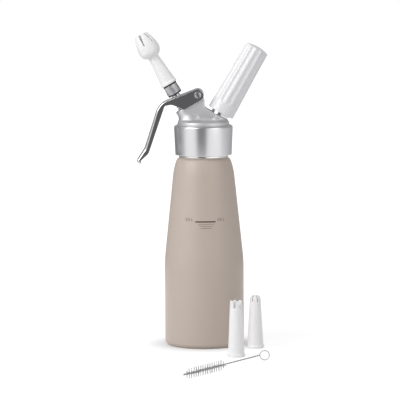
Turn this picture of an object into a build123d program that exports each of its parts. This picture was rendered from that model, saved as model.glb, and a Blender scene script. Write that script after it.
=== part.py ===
# A half-litre cream whipper: an aluminium bottle, a cast head screwed onto its neck, a lever that
# opens a sprung valve under a decorating tip, and a screwed holder for a gas charger. Two spare
# tips and a cleaning brush stand beside it.
#
# Millimetres. The origin is the centre of the bottle's foot, +Z is up, the charger holder leans
# towards +X and the decorating tip and the lever towards -X.
from build123d import *
from math import atan, cos, degrees, radians, sin, tan
import os

# ---- fits
SCREW_CLEAR = 0.3             # between two screwed pieces, in radius
RUN_CLEAR = 0.06              # a shaft or pin in the bore that it turns or slides in, in radius
GUIDE_CLEAR = 0.1             # the spindle in its bore, in radius

# ---- bottle: deep-drawn aluminium, straight below, conical above, with a screwed neck
BODY_R = 40.0
BODY_STRAIGHT = 86.0          # height of the straight wall
CONE_HEIGHT = 85.5
SHOULDER_HEIGHT = 15.7
SHOULDER_RIM = 2.8            # height of the rounded step at the foot of the neck
NECK_HEIGHT = 22.0
NECK_R = 24.9
NECK_THREAD_DEPTH = 0.9
NECK_LAND = 3.0               # plain height of the neck under its thread
SHOULDER_LEDGE = 2.7          # how far the shoulder stands out past the neck
SHOULDER_SPREAD = 3.5         # how much wider the top of the cone is than the shoulder's top
WAIST_R = 150.0               # the smooth turn from the straight wall to the cone
FOOT_R = 5.0
FOOT_RING_WIDTH = 4.0
FOOT_HOLLOW = 2.0
FOOT_HOLLOW_TAPER = 45.0
BOTTLE_FLOOR = 2.0
BOTTLE_WALL = 1.6
NECK_WALL = 2.0

# ---- head: one aluminium casting, with a collar that screws down over the neck
GASKET_T = 2.6
GASKET_WIDTH = 4.1
COLLAR_GAP = 2.2              # bare neck that shows between the shoulder and the collar
COLLAR_WALL = 3.3
COLLAR_FLARE = 1.3            # how much wider the collar is at its top
COLLAR_EDGE_R = 2.5
COLLAR_LIP = 0.6
CROWN_T = 8.7                 # metal above the gasket, up to the collar's top
CAVITY_DEPTH = 2.9            # the hollow inside the gasket ring, above the gasket
FLANGE_T = 3.7                # the plate on top of the collar
FLANGE_STEP = 3.6             # how far the flange stands back from the collar's edge
FLANGE_EDGE_R = 1.2
AXES_DROP = 9.2               # where the tip's and the charger's axes meet, below the gasket's top
TILT = 30.0                   # lean of both axes from the upright

# ---- valve: distances along the tip's axis from where the axes meet
SEAT_A = 13.5
CHAMBER_LENGTH = 6.5
CHAMBER_R = 5.6
SPINDLE_R = 4.2
SPINDLE_BORE_R = 2.2
SPINDLE_STUD_R = 3.0
SPINDLE_PORT_R = 1.2
POPPET_R = 7.0
POPPET_T = 4.5
POPPET_EDGE = 1.0
SEAL_T = 1.5
SEAT_GAP = 0.05               # between the rubber and the seat, where the valve is just closed
SEAT_WALL = 1.2
POPPET_ROOM = 0.8             # round the poppet in the hollow that it opens into
VALVE_BOSS_R = 8.6
VALVE_BOSS_A = 40.4           # top of the boss
VALVE_BOSS_STRAIGHT = 4.4     # straight height of the boss, above its flared foot
VALVE_BOSS_FLARE = 3.6
O_RING_R = 0.85
BUSH_LENGTH = 4.0
SPRING_POCKET = 4.4
SPRING_WIRE_R = 0.5
SPRING_MEAN_R = 5.3
SPRING_LENGTH = 11.5
SPRING_TURNS = 5
COLLET_R = 7.4                # the round shoulder on the spindle that the lever presses
COLLET_T = 3.8
ADAPTOR_GAP = 5.0             # between that shoulder and the knurled adaptor
ADAPTOR_R = 7.25
ADAPTOR_LENGTH = 10.7
ADAPTOR_EDGE = 0.5
ADAPTOR_GRIP = 9.7            # depth of the spindle in the adaptor
SPIGOT_R = 5.6
SPIGOT_LENGTH = 10.6
TIP_SEAL_T = 1.3
TIP_SEAL_R = 8.0

# ---- decorating tips: moulded plastic, hollow, with a screwed socket in the foot
TIP_FOOT_R = 8.7
TIP_FOOT_T = 2.4
TIP_FOOT_STEP = 0.6           # how far the foot stands out past the cone
TIP_WALL = 1.6
SOCKET_SPARE = 1.0            # how much deeper the socket is than the spigot is long
TIP_BORE_R = 4.0
TULIP_LENGTH = 57.3
TULIP_NECK_R = 5.1
TULIP_NECK_AT = 31.8          # height of the narrow neck over the foot
TULIP_BULB_R = 10.9
TULIP_BULB_AT = 39.6
TULIP_MOUTH_R = 6.4
TULIP_SLOTS = 6
TULIP_SLOT_DEPTH = 12.2
TULIP_SLOT_TOP = 2.9
TULIP_SLOT_FOOT = 0.9
TULIP_SLOT_TURN = -12.0       # degrees of the front slot from straight ahead
SLOTTED_LENGTH = 55.5
SLOTTED_TOP_R = 6.0
SLOTTED_SLOTS = 6
SLOTTED_SLOT_DEPTH = 6.8
SLOTTED_SLOT_TOP = 2.8
SLOTTED_SLOT_FOOT = 1.2
SLOTTED_SLOT_TURN = -17.0
STAR_LENGTH = 53.6
STAR_TOP_R = 5.2
STAR_ROUND_R = 4.2
STAR_SLITS = 6
STAR_SLIT_DEPTH = 7.0
STAR_SLIT_WIDTH = 0.9
STAR_SLIT_TURN = 25.0
STAR_MOUTH_R = 1.6

# ---- lever: pressed stainless sheet, a channel open towards the bottle
SHEET = 1.5
LEVER_HALF_WIDTH = 10.7
PIVOT_U = 19.5                # pivot's distance from the tip's axis
PIVOT_DROP = 6.5              # pivot below the top of the spindle's shoulder
PIVOT_RISE = 6.7              # top face of the lever's plate, above the pivot
PIVOT_END_STEP = 0.1          # the lever's round end lies this far under that face
PLATE_SLOPE = 22.1
PLATE_LENGTH = 40.2
BEND_R = 19.5
HANDLE_LENGTH = 47.4
HANDLE_LEAN = 17.9            # degrees of the handle from the upright
HANDLE_DEPTH = 6.6
KINK_R = 12.0
KICK_LENGTH = 14.8
KICK_LEAN = 33.0
KICK_DEPTH = 5.6
KICK_END_TURN = 75.0          # degrees from the kick's back to its end
KINK_LAG = 6.5                # how much further down the inner edge kinks than the back
LEVER_END_R = 2.6
INNER_BEND_R = 2.5
CHEEK_SLOPE = 29.3            # lower edge of the side cheeks
CHEEK_LENGTH = 19.0
CHEEK_CORNER_R = 2.0
CHEEK_HOLLOW_R = 8.0
PLATE_END = 2.0               # how far the plate runs past the pivot
CHEEK_RISE = (13.0, 5.0)      # run and rise of the cheeks' edge from their corner to the bend
PIN_R = 2.0
PIN_HEAD_R = 3.6
PIN_HEAD_T = 1.2
CLIP_R = 3.4
CLIP_T = 0.8
PIN_PLAY = 0.15               # between the lever's cheeks and the pin's head and clip
CLIP_GROOVE = 0.5
PIN_TAIL = 0.8                # how far the pin runs past its clip
SPINDLE_SLOT_WIDTH = 9.4
SPINDLE_SLOT_LENGTH = 11.6
SPINDLE_SLOT_SHIFT = 0.5      # towards the pivot, because the slot swings away from it
DIMPLE_Y = 6.3
DIMPLE_R = 1.5
DIMPLE_GAP = 0.15

# ---- tower: the upright web of the casting that carries the lever's pin
WEB_HALF_WIDTH = 8.6
EYE_R = 4.7
WEB_RIGHT_X = 1.4
WEB_FOOT_DEPTH = 3.0          # how far the web sinks into the flange
WEB_SHOULDER = 1.2            # how far below the eye the web's right side starts
VALVE_FLARE_LENGTH = 10.0
VALVE_FOOT_A = 16.0
GAS_FOOT_A = 16.0
SEAT_LENGTH = 5.0
STUD_BORE_LEAD = 4.0          # how far below the hollow the stud's bore is cut from

# ---- gas side: distances along the charger's axis from where the axes meet
FACET_A = 31.9
GAS_BOSS_R = 10.4
GAS_BOSS_FLARE = 2.6
STUD_R = 9.5
STUD_LENGTH = 14.1
STUD_SHANK_R = 6.0
STUD_RECESS_R = 4.9
STUD_RECESS = 8.0
NIPPLE_R = 2.2
NIPPLE_LENGTH = 3.6
GAS_BORE_R = 0.8
PIN_HOLE = 4.0
NEEDLE_R = 1.0
NEEDLE_LENGTH = 9.6
NEEDLE_BORE_R = 0.4
NEEDLE_TIP = 2.0
NEEDLE_SEAL_T = 2.7
NEEDLE_SEAL_GAP = 0.1
NEEDLE_EDGE = 0.1
PIERCED_GAP = 0.3             # round the needle in the charger's cap
SLEEVE_WALL = 1.0
SLEEVE_GAP = 0.6
SLEEVE_LENGTH = 2.4
STUD_RING_R = 0.8
STUD_RING_MEAN_R = 7.7
CHARGER_R = 9.05
CHARGER_NECK_R = 4.4
CHARGER_NECK = 6.2
CHARGER_SHOULDER = 7.0
CHARGER_LENGTH = 65.5
CHARGER_WALL = 1.2
CHARGER_CAP_T = 1.5
CHARGER_SEAL_GAP = 0.1        # between the charger's neck and the rubber that it is pressed on
HOLDER_GAP = 3.1              # between the casting's facet and the holder's rim
HOLDER_LENGTH = 75.0
HOLDER_RIM_R = 13.85
HOLDER_TOP_R = 12.2
HOLDER_EDGE_R = 1.6
HOLDER_LIP_R = 0.8
HOLDER_DOME = 0.8
CHARGER_PLAY = 0.6            # between the charger's round end and the holder
FLUTES = 12
FLUTE_R = 3.6
FLUTE_DEPTH = 1.1
FLUTE_START = 9.5             # height of the plain band at the holder's rim
FLUTE_TURN = -20.0

# ---- spare tips and brush, and where they stand
SLOTTED_PLACE = (31.0, -43.0)  # x, and y in front of the bottle's wall
STAR_PLACE = (11.1, -28.5)     # x beyond the bottle's wall, and y
BRUSH_WIRE_R = 0.7
BRUSH_RING_R = 4.6
BRUSH_R = 5.3
BRUSH_BRISTLES = 66.0
BRUSH_TAPER = 6.0
BRUSH_FOOT_TAPER = 2.0
BRUSH_TAIL = 3.0              # bare wire past the bristles
BRUSH_WIRE_LENGTH = 133.6     # from the ring to the wire's end
BRUSH_PLACE = (58.2, -70.0)   # centre of the ring: x, and y in front of the bottle's wall
BRUSH_ANGLE = -123.5

# ---- heights and radii that follow
CONE_TOP_Z = BODY_STRAIGHT + CONE_HEIGHT
SHOULDER_Z = CONE_TOP_Z + SHOULDER_HEIGHT
NECK_FOOT_Z = SHOULDER_Z + SHOULDER_RIM
NECK_TOP_Z = NECK_FOOT_Z + NECK_HEIGHT
SHOULDER_TOP_R = NECK_R + SHOULDER_LEDGE
CONE_TOP_R = SHOULDER_TOP_R + SHOULDER_SPREAD
THREAD_CORE_R = NECK_R - NECK_THREAD_DEPTH
MOUTH_R = THREAD_CORE_R - NECK_WALL
INSIDE_FLOOR_Z = FOOT_HOLLOW + BOTTLE_FLOOR

SEAT_Z = NECK_TOP_Z + GASKET_T
HEAD_BORE_R = NECK_R + SCREW_CLEAR
COLLAR_Z = NECK_FOOT_Z + COLLAR_GAP
COLLAR_TOP_Z = SEAT_Z + CROWN_T
COLLAR_R = HEAD_BORE_R + COLLAR_WALL
COLLAR_TOP_R = COLLAR_R + COLLAR_FLARE
FLANGE_TOP_Z = COLLAR_TOP_Z + FLANGE_T
FLANGE_R = COLLAR_TOP_R - FLANGE_STEP
GASKET_R = HEAD_BORE_R - SCREW_CLEAR / 2
CAVITY_R = GASKET_R - GASKET_WIDTH
CAVITY_Z = SEAT_Z + CAVITY_DEPTH
AXES_Z = SEAT_Z - AXES_DROP

POPPET_A = SEAT_A - SEAT_GAP - SEAL_T - POPPET_T
POPPET_TOP_A = POPPET_A + POPPET_T
SPINDLE_HOLE_R = SPINDLE_R + GUIDE_CLEAR
BUSH_R = SPINDLE_HOLE_R + 2 * O_RING_R
SPRING_A = VALVE_BOSS_A - SPRING_POCKET
SPRING_POCKET_R = SPRING_MEAN_R + SPRING_WIRE_R + SCREW_CLEAR
O_RING_FLOOR_A = SPRING_A - BUSH_LENGTH - 2 * O_RING_R
COLLET_A = SPRING_A + SPRING_LENGTH
COLLET_TOP_A = COLLET_A + COLLET_T
ADAPTOR_A = COLLET_TOP_A + ADAPTOR_GAP
SPINDLE_TOP_A = ADAPTOR_A + ADAPTOR_GRIP
TIP_SEAL_A = ADAPTOR_A + ADAPTOR_LENGTH
SPIGOT_TOP_A = TIP_SEAL_A + SPIGOT_LENGTH
TIP_A = TIP_SEAL_A + TIP_SEAL_T
SOCKET_R = SPIGOT_R + SCREW_CLEAR
SOCKET_DEPTH = SPIGOT_LENGTH - TIP_SEAL_T + SOCKET_SPARE

SHANK_A = (CAVITY_Z - AXES_Z) / cos(radians(TILT))
NIPPLE_A = SHANK_A - NIPPLE_LENGTH
STUD_TOP_A = FACET_A + STUD_LENGTH
STUD_RECESS_A = STUD_TOP_A - STUD_RECESS
NEEDLE_A = STUD_RECESS_A - PIN_HOLE
NECK_END_A = STUD_RECESS_A + NEEDLE_SEAL_T + CHARGER_SEAL_GAP
HOLDER_A = FACET_A + HOLDER_GAP
HOLDER_BORE_R = STUD_R + SCREW_CLEAR
PLATE_TWIST = radians(TILT - PLATE_SLOPE)
PLATE_TOP_A = COLLET_TOP_A - PIVOT_DROP + (PIVOT_RISE + PIVOT_U * sin(PLATE_TWIST)) / cos(PLATE_TWIST)
PIN_SEAT_Y = LEVER_HALF_WIDTH + PIN_PLAY
FRONT = -90.0                 # the direction straight ahead, in degrees about an upright axis


def deg_sin(angle):
    return sin(radians(angle))


def deg_cos(angle):
    return cos(radians(angle))


def across(side, distance):
    """The plane across a leaning axis, at a distance from where the two axes meet."""
    return Plane(
        origin=(side * deg_sin(TILT) * distance, 0, AXES_Z + deg_cos(TILT) * distance),
        x_dir=(deg_cos(TILT), 0, -side * deg_sin(TILT)),
        z_dir=(side * deg_sin(TILT), 0, deg_cos(TILT)),
    )


def section_at(axis_foot, side=0):
    """The plane of a turned piece's outline: its x is the radius, and its y runs up the axis."""
    lean = side * TILT
    return Plane(origin=axis_foot, x_dir=(deg_cos(lean), 0, -deg_sin(lean)), z_dir=(0, -1, 0))


TIP_SIDE, GAS_SIDE = -1, 1
TIP_SECTION = section_at((0, 0, AXES_Z), TIP_SIDE)
GAS_SECTION = section_at((0, 0, AXES_Z), GAS_SIDE)


def turn(section, outline, mode=Mode.ADD):
    """Turns an outline of (radius, height) points about a section's axis."""
    with BuildSketch(section) as profile:
        with BuildLine():
            Polyline(*outline, close=True)
        make_face()
    revolve(profile.sketch, axis=Axis(section.origin, section.y_dir), mode=mode)


def rod(side, low, high, radius, mode=Mode.ADD):
    """A round bar on a leaning axis, or with Mode.SUBTRACT a bore."""
    with BuildSketch(across(side, low)) as disc:
        Circle(radius)
    extrude(disc.sketch, amount=high - low, mode=mode)


def ring(side, low, high, outer, inner, mode=Mode.ADD):
    """A flat ring on a leaning axis, or with Mode.SUBTRACT a groove."""
    with BuildSketch(across(side, low)) as band:
        Circle(outer)
        Circle(inner, mode=Mode.SUBTRACT)
    extrude(band.sketch, amount=high - low, mode=mode)


def on_section(section, radius, height):
    """x and z of a point of a section."""
    point = section.from_local_coords((radius, height))
    return point.X, point.Z


def finish(piece, name):
    piece.part.label = name
    export_step(piece.part, f"parts/{name}.step")


os.makedirs("parts", exist_ok=True)


# ---- bottle: turned from one outline, once full and once less its wall
def bottle_outline(inset, floor_z):
    wall_r = BODY_R - inset
    corner_r = FOOT_R - inset
    waist = (wall_r, BODY_STRAIGHT)
    cone_top = (CONE_TOP_R - inset, CONE_TOP_Z)
    shoulder = (SHOULDER_TOP_R - inset, SHOULDER_Z)
    with BuildSketch(Plane.XZ) as outline:
        with BuildLine():
            FilletPolyline(
                (0, floor_z), (wall_r, floor_z), waist, cone_top, radius=[corner_r, WAIST_R]
            )
            slope = (cone_top[0] - waist[0], cone_top[1] - waist[1])
            turn_in = TangentArc(cone_top, shoulder, tangent=slope)
            if inset:
                neck_foot = (MOUTH_R, SHOULDER_Z + SHOULDER_RIM / 2)
                Line(shoulder, neck_foot)
            else:
                neck_foot = (NECK_R, NECK_FOOT_Z)
                TangentArc(shoulder, neck_foot, tangent=turn_in % 1)
            Polyline(neck_foot, (0, neck_foot[1]), (0, floor_z))
        make_face()
    return outline.sketch


with BuildPart() as bottle:
    revolve(bottle_outline(0, 0), axis=Axis.Z)
    with BuildSketch(Plane.XY.offset(NECK_FOOT_Z)):
        Circle(NECK_R)
    extrude(amount=NECK_LAND)
    with BuildSketch(Plane.XY.offset(NECK_FOOT_Z)):
        Circle(THREAD_CORE_R)
    extrude(amount=NECK_HEIGHT)
    revolve(bottle_outline(BOTTLE_WALL, INSIDE_FLOOR_Z), axis=Axis.Z, mode=Mode.SUBTRACT)
    with BuildSketch(Plane.XY.offset(SHOULDER_Z)):
        Circle(MOUTH_R)
    extrude(amount=NECK_TOP_Z - SHOULDER_Z, mode=Mode.SUBTRACT)
    with BuildSketch(Plane.XY):
        Circle(BODY_R - FOOT_R - FOOT_RING_WIDTH)
    extrude(amount=FOOT_HOLLOW, taper=FOOT_HOLLOW_TAPER, mode=Mode.SUBTRACT)
finish(bottle, "bottle")

# ---- gasket: a silicone ring that stays in the head and seals on the bottle's mouth
with BuildPart() as head_gasket:
    with BuildSketch(Plane.XY.offset(NECK_TOP_Z)):
        Circle(GASKET_R)
        Circle(CAVITY_R, mode=Mode.SUBTRACT)
    extrude(amount=GASKET_T)
finish(head_gasket, "head_gasket")

# ---- the lever's line, seen from the front and worked out from its pivot
PIVOT = on_section(TIP_SECTION, PIVOT_U, COLLET_TOP_A - PIVOT_DROP)
PIVOT_END_R = PIVOT_RISE - PIVOT_END_STEP
PLATE_WAY = 180 + PLATE_SLOPE
HANDLE_WAY = 270 - HANDLE_LEAN
KICK_WAY = 270 - KICK_LEAN
END_WAY = KICK_WAY + KICK_END_TURN
CHEEK_WAY = 180 + CHEEK_SLOPE
TO_INSIDE = 90                # from a direction along the lever to the one into its channel


def step(start, way, length):
    """The point a length away from start, in a direction in degrees from +X towards +Z."""
    return start[0] + length * deg_cos(way), start[1] + length * deg_sin(way)


def inset_corner(corner, way_in, way_out, depth):
    """A corner of the lever's back, moved in by a depth from both of its sides."""
    middle = (way_in + way_out) / 2 + TO_INSIDE
    return step(corner, middle, depth / deg_cos((way_out - way_in) / 2))


PLATE_START = step(PIVOT, PLATE_WAY - TO_INSIDE, PIVOT_RISE)
BEND = step(PLATE_START, PLATE_WAY, PLATE_LENGTH)
KINK = step(BEND, HANDLE_WAY, HANDLE_LENGTH)
KICK_END = step(KINK, KICK_WAY, KICK_LENGTH)
LEVER_TOE = step(KICK_END, END_WAY, KICK_DEPTH)
INNER_BEND = step(BEND, HANDLE_WAY + TO_INSIDE, HANDLE_DEPTH)
INNER_KINK = step(step(KINK, HANDLE_WAY + TO_INSIDE, HANDLE_DEPTH), HANDLE_WAY, KINK_LAG)
CHEEK_START = step(PIVOT, CHEEK_WAY + TO_INSIDE, PIVOT_END_R)
CHEEK_CORNER = step(CHEEK_START, CHEEK_WAY, CHEEK_LENGTH)
CHEEK_HOLLOW = (CHEEK_CORNER[0] - CHEEK_RISE[0], CHEEK_CORNER[1] + CHEEK_RISE[1])
LEVER_INNER_HALF = LEVER_HALF_WIDTH - SHEET

# ---- head: collar and flange are turned, the web and the two bosses stand on the flange
WEB_FOOT_Z = FLANGE_TOP_Z - WEB_FOOT_DEPTH


def web_outline():
    """The web from the front, from the valve boss round the eye and down the facet."""
    axis_foot = -(WEB_FOOT_Z - AXES_Z) * tan(radians(TILT))
    facet_low = on_section(GAS_SECTION, GAS_BOSS_R, FACET_A)
    facet_high_z = AXES_Z + (FACET_A - WEB_RIGHT_X * deg_sin(TILT)) / deg_cos(TILT)
    return [
        (axis_foot, WEB_FOOT_Z),
        on_section(TIP_SECTION, 0, VALVE_BOSS_A),
        on_section(TIP_SECTION, VALVE_BOSS_R, VALVE_BOSS_A),
        (PIVOT[0] - EYE_R, PIVOT[1]),
        (PIVOT[0] + EYE_R, PIVOT[1]),
        (WEB_RIGHT_X, PIVOT[1] - EYE_R - WEB_SHOULDER),
        (WEB_RIGHT_X, facet_high_z),
        facet_low,
        (facet_low[0] - FLANGE_EDGE_R, WEB_FOOT_Z),
    ]


with BuildPart() as head:
    with BuildSketch(Plane.XZ):
        with BuildLine():
            FilletPolyline(
                (0, COLLAR_Z), (COLLAR_R, COLLAR_Z), (COLLAR_TOP_R, COLLAR_TOP_Z),
                (FLANGE_R, COLLAR_TOP_Z), (FLANGE_R, FLANGE_TOP_Z), (0, FLANGE_TOP_Z),
                radius=[0, COLLAR_LIP, COLLAR_EDGE_R, 0, FLANGE_EDGE_R, 0], close=True,
            )
        make_face()
    revolve(axis=Axis.Z)
    flare_a = VALVE_BOSS_A - VALVE_BOSS_STRAIGHT
    turn(TIP_SECTION, [
        (0, VALVE_FOOT_A), (VALVE_BOSS_R + VALVE_BOSS_FLARE, VALVE_FOOT_A),
        (VALVE_BOSS_R + VALVE_BOSS_FLARE, flare_a - VALVE_FLARE_LENGTH),
        (VALVE_BOSS_R, flare_a), (VALVE_BOSS_R, VALVE_BOSS_A), (0, VALVE_BOSS_A),
    ])
    turn(GAS_SECTION, [
        (0, GAS_FOOT_A), (GAS_BOSS_R + GAS_BOSS_FLARE, GAS_FOOT_A),
        (GAS_BOSS_R, FACET_A), (0, FACET_A),
    ])
    with BuildSketch(Plane.XZ):
        with BuildLine():
            Polyline(*web_outline(), close=True)
        make_face()
        with Locations(PIVOT):
            Circle(EYE_R)
    extrude(amount=WEB_HALF_WIDTH, both=True)
    # inside: the screwed bore, the gasket's seat and the hollow above the bottle's mouth
    with BuildSketch(Plane.XY.offset(COLLAR_Z)):
        Circle(HEAD_BORE_R)
    extrude(amount=SEAT_Z - COLLAR_Z, mode=Mode.SUBTRACT)
    with BuildSketch(Plane.XY.offset(SEAT_Z)):
        Circle(CAVITY_R)
    extrude(amount=CAVITY_DEPTH, mode=Mode.SUBTRACT)
    # the valve: seat, chamber, spindle bore, O-ring room and spring pocket
    rod(TIP_SIDE, SEAT_A, SEAT_A + SEAT_LENGTH, POPPET_R + POPPET_ROOM + SEAT_WALL)
    rod(TIP_SIDE, 0, SEAT_A, POPPET_R + POPPET_ROOM, Mode.SUBTRACT)
    rod(TIP_SIDE, SEAT_A, VALVE_BOSS_A, SPINDLE_HOLE_R, Mode.SUBTRACT)
    rod(TIP_SIDE, SEAT_A, SEAT_A + CHAMBER_LENGTH, CHAMBER_R, Mode.SUBTRACT)
    rod(TIP_SIDE, O_RING_FLOOR_A, VALVE_BOSS_A, BUSH_R, Mode.SUBTRACT)
    rod(TIP_SIDE, SPRING_A, VALVE_BOSS_A, SPRING_POCKET_R, Mode.SUBTRACT)
    # the gas inlet: a bore for the screwed stud, and a groove for its sealing ring
    rod(GAS_SIDE, SHANK_A - STUD_BORE_LEAD, FACET_A, STUD_SHANK_R, Mode.SUBTRACT)
    ring(
        GAS_SIDE, FACET_A - 2 * STUD_RING_R, FACET_A, STUD_RING_MEAN_R + STUD_RING_R,
        STUD_RING_MEAN_R - STUD_RING_R, Mode.SUBTRACT,
    )
    # the lever's pin
    with BuildSketch(Plane.XZ):
        with Locations(PIVOT):
            Circle(PIN_R)
    extrude(amount=WEB_HALF_WIDTH, both=True, mode=Mode.SUBTRACT)
finish(head, "head")

# ---- lever pin: a headed steel pin through the web's eye, held by a spring clip at the back
with BuildPart() as lever_pin:
    with BuildSketch(Plane.XZ.offset(PIN_SEAT_Y)):
        with Locations(PIVOT):
            Circle(PIN_HEAD_R)
    extrude(amount=PIN_HEAD_T)
    chamfer(lever_pin.edges().sort_by(Axis.Y)[0], PIN_HEAD_T / 2)
    with BuildSketch(Plane.XZ.offset(PIN_SEAT_Y)):
        with Locations(PIVOT):
            Circle(PIN_R)
    extrude(amount=-(2 * PIN_SEAT_Y + CLIP_T + PIN_TAIL))
    with BuildSketch(Plane.XZ.offset(-PIN_SEAT_Y)):
        with Locations(PIVOT):
            Circle(PIN_R)
            Circle(PIN_R - CLIP_GROOVE, mode=Mode.SUBTRACT)
    extrude(amount=-CLIP_T, mode=Mode.SUBTRACT)
finish(lever_pin, "lever_pin")

with BuildPart() as pin_clip:
    with BuildSketch(Plane.XZ.offset(-PIN_SEAT_Y)):
        with Locations(PIVOT):
            Circle(CLIP_R)
            Circle(PIN_R - CLIP_GROOVE, mode=Mode.SUBTRACT)
        with Locations((PIVOT[0] + CLIP_R, PIVOT[1])):
            Rectangle(2 * CLIP_R, 2 * (PIN_R - CLIP_GROOVE), mode=Mode.SUBTRACT)
    extrude(amount=-CLIP_T)
finish(pin_clip, "pin_clip")

# ---- lever: its side view is pressed out, then hollowed to a channel of one sheet's thickness
with BuildPart() as lever:
    with BuildSketch(Plane.XZ):
        with BuildLine():
            FilletPolyline(
                PLATE_START, BEND, KINK, KICK_END, LEVER_TOE,
                INNER_KINK, INNER_BEND, CHEEK_HOLLOW, CHEEK_CORNER, CHEEK_START,
                radius=[
                    0, BEND_R, KINK_R, LEVER_END_R, LEVER_END_R,
                    KINK_R / 2, INNER_BEND_R, CHEEK_HOLLOW_R, CHEEK_CORNER_R, 0,
                ],
                close=True,
            )
        make_face()
        with Locations(PIVOT):
            Circle(PIVOT_END_R)
    extrude(amount=LEVER_HALF_WIDTH, both=True)
    plate_inside = step(PLATE_START, PLATE_WAY + TO_INSIDE, SHEET)
    plate_end = step(plate_inside, PLATE_WAY, -PLATE_END)
    channel_toe = step(inset_corner(KICK_END, KICK_WAY, END_WAY, SHEET), END_WAY, 2 * KICK_DEPTH)
    channel_right = PIVOT[0] + 2 * PIVOT_RISE
    with BuildSketch(Plane.XZ):
        with BuildLine():
            FilletPolyline(
                plate_end,
                inset_corner(BEND, PLATE_WAY, HANDLE_WAY, SHEET),
                inset_corner(KINK, HANDLE_WAY, KICK_WAY, SHEET),
                inset_corner(KICK_END, KICK_WAY, END_WAY, SHEET),
                channel_toe, (channel_right, channel_toe[1]),
                (channel_right, PLATE_START[1] + PIVOT_RISE),
                step(plate_end, PLATE_WAY - TO_INSIDE, 2 * PIVOT_RISE),
                radius=[0, BEND_R - SHEET, KINK_R + SHEET, LEVER_END_R - SHEET, 0, 0, 0, 0],
                close=True,
            )
        make_face()
    extrude(amount=LEVER_INNER_HALF, both=True, mode=Mode.SUBTRACT)
    with BuildSketch(across(TIP_SIDE, PLATE_TOP_A)):
        with Locations((SPINDLE_SLOT_SHIFT, 0)):
            SlotOverall(SPINDLE_SLOT_LENGTH, SPINDLE_SLOT_WIDTH)
    extrude(amount=2 * SHEET, both=True, mode=Mode.SUBTRACT)
    with BuildSketch(across(TIP_SIDE, COLLET_TOP_A + DIMPLE_GAP)):
        with Locations((0, DIMPLE_Y), (0, -DIMPLE_Y)):
            Circle(DIMPLE_R)
    extrude(amount=PLATE_TOP_A - SHEET / 2 - COLLET_TOP_A - DIMPLE_GAP)
    with BuildSketch(Plane.XZ):
        with Locations(PIVOT):
            Circle(PIN_R + RUN_CLEAR)
    extrude(amount=LEVER_HALF_WIDTH, both=True, mode=Mode.SUBTRACT)
finish(lever, "lever")

# ---- valve spindle: a tube that carries the poppet below, the tip above and the cream between
with BuildPart() as valve_spindle:
    turn(TIP_SECTION, [
        (0, POPPET_A), (SPINDLE_STUD_R, POPPET_A), (SPINDLE_STUD_R, POPPET_TOP_A),
        (SPINDLE_R, POPPET_TOP_A), (SPINDLE_R, SPINDLE_TOP_A), (0, SPINDLE_TOP_A),
    ])
    rod(TIP_SIDE, SEAT_A + SPINDLE_PORT_R, SPINDLE_TOP_A, SPINDLE_BORE_R, Mode.SUBTRACT)
    port_a = SEAT_A + CHAMBER_LENGTH / 2
    with BuildSketch(Plane.XZ.offset(-SPINDLE_R)):
        with Locations(on_section(TIP_SECTION, 0, port_a)):
            Circle(SPINDLE_PORT_R)
    extrude(amount=2 * SPINDLE_R, mode=Mode.SUBTRACT)
finish(valve_spindle, "valve_spindle")

with BuildPart() as spindle_collet:
    ring(TIP_SIDE, COLLET_A, COLLET_TOP_A, COLLET_R, SPINDLE_R)
finish(spindle_collet, "spindle_collet")

with BuildPart() as valve_poppet:
    ring(TIP_SIDE, POPPET_A, POPPET_TOP_A, POPPET_R, SPINDLE_STUD_R)
    chamfer(valve_poppet.edges().filter_by(GeomType.CIRCLE).group_by(Axis.Z)[0], POPPET_EDGE)
finish(valve_poppet, "valve_poppet")

with BuildPart() as valve_seal:
    ring(TIP_SIDE, POPPET_TOP_A, POPPET_TOP_A + SEAL_T, POPPET_R, SPINDLE_R)
finish(valve_seal, "valve_seal")

# ---- the spindle's O-ring lies in the casting under a bush, and the spring stands on the bush
with BuildPart() as spindle_o_ring:
    with Locations(across(TIP_SIDE, O_RING_FLOOR_A + O_RING_R).location):
        Torus(SPINDLE_HOLE_R + O_RING_R, O_RING_R)
finish(spindle_o_ring, "spindle_o_ring")

with BuildPart() as spindle_bush:
    ring(TIP_SIDE, SPRING_A - BUSH_LENGTH, SPRING_A, BUSH_R, SPINDLE_HOLE_R)
finish(spindle_bush, "spindle_bush")

with BuildPart() as valve_spring:
    coil_height = SPRING_LENGTH - 2 * SPRING_WIRE_R
    coil_plane = across(TIP_SIDE, SPRING_A + SPRING_WIRE_R)
    with BuildLine():
        coil = Helix(
            coil_height / SPRING_TURNS, coil_height, SPRING_MEAN_R,
            center=coil_plane.origin, direction=coil_plane.z_dir,
        )
    with BuildSketch(Plane(origin=coil @ 0, z_dir=coil % 0)):
        Circle(SPRING_WIRE_R)
    sweep(is_frenet=True)
finish(valve_spring, "valve_spring")

# ---- knurled adaptor on the spindle's top, with the spigot that the tips screw onto
with BuildPart() as tip_adaptor:
    turn(TIP_SECTION, [
        (0, ADAPTOR_A), (ADAPTOR_R - ADAPTOR_EDGE, ADAPTOR_A), (ADAPTOR_R, ADAPTOR_A + ADAPTOR_EDGE),
        (ADAPTOR_R, TIP_SEAL_A - ADAPTOR_EDGE), (ADAPTOR_R - ADAPTOR_EDGE, TIP_SEAL_A),
        (SPIGOT_R, TIP_SEAL_A), (SPIGOT_R, SPIGOT_TOP_A - ADAPTOR_EDGE),
        (SPIGOT_R - ADAPTOR_EDGE, SPIGOT_TOP_A), (0, SPIGOT_TOP_A),
    ])
    rod(TIP_SIDE, ADAPTOR_A, SPINDLE_TOP_A, SPINDLE_R, Mode.SUBTRACT)
    rod(TIP_SIDE, SPINDLE_TOP_A, SPIGOT_TOP_A, SPINDLE_BORE_R, Mode.SUBTRACT)
finish(tip_adaptor, "tip_adaptor")

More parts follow.
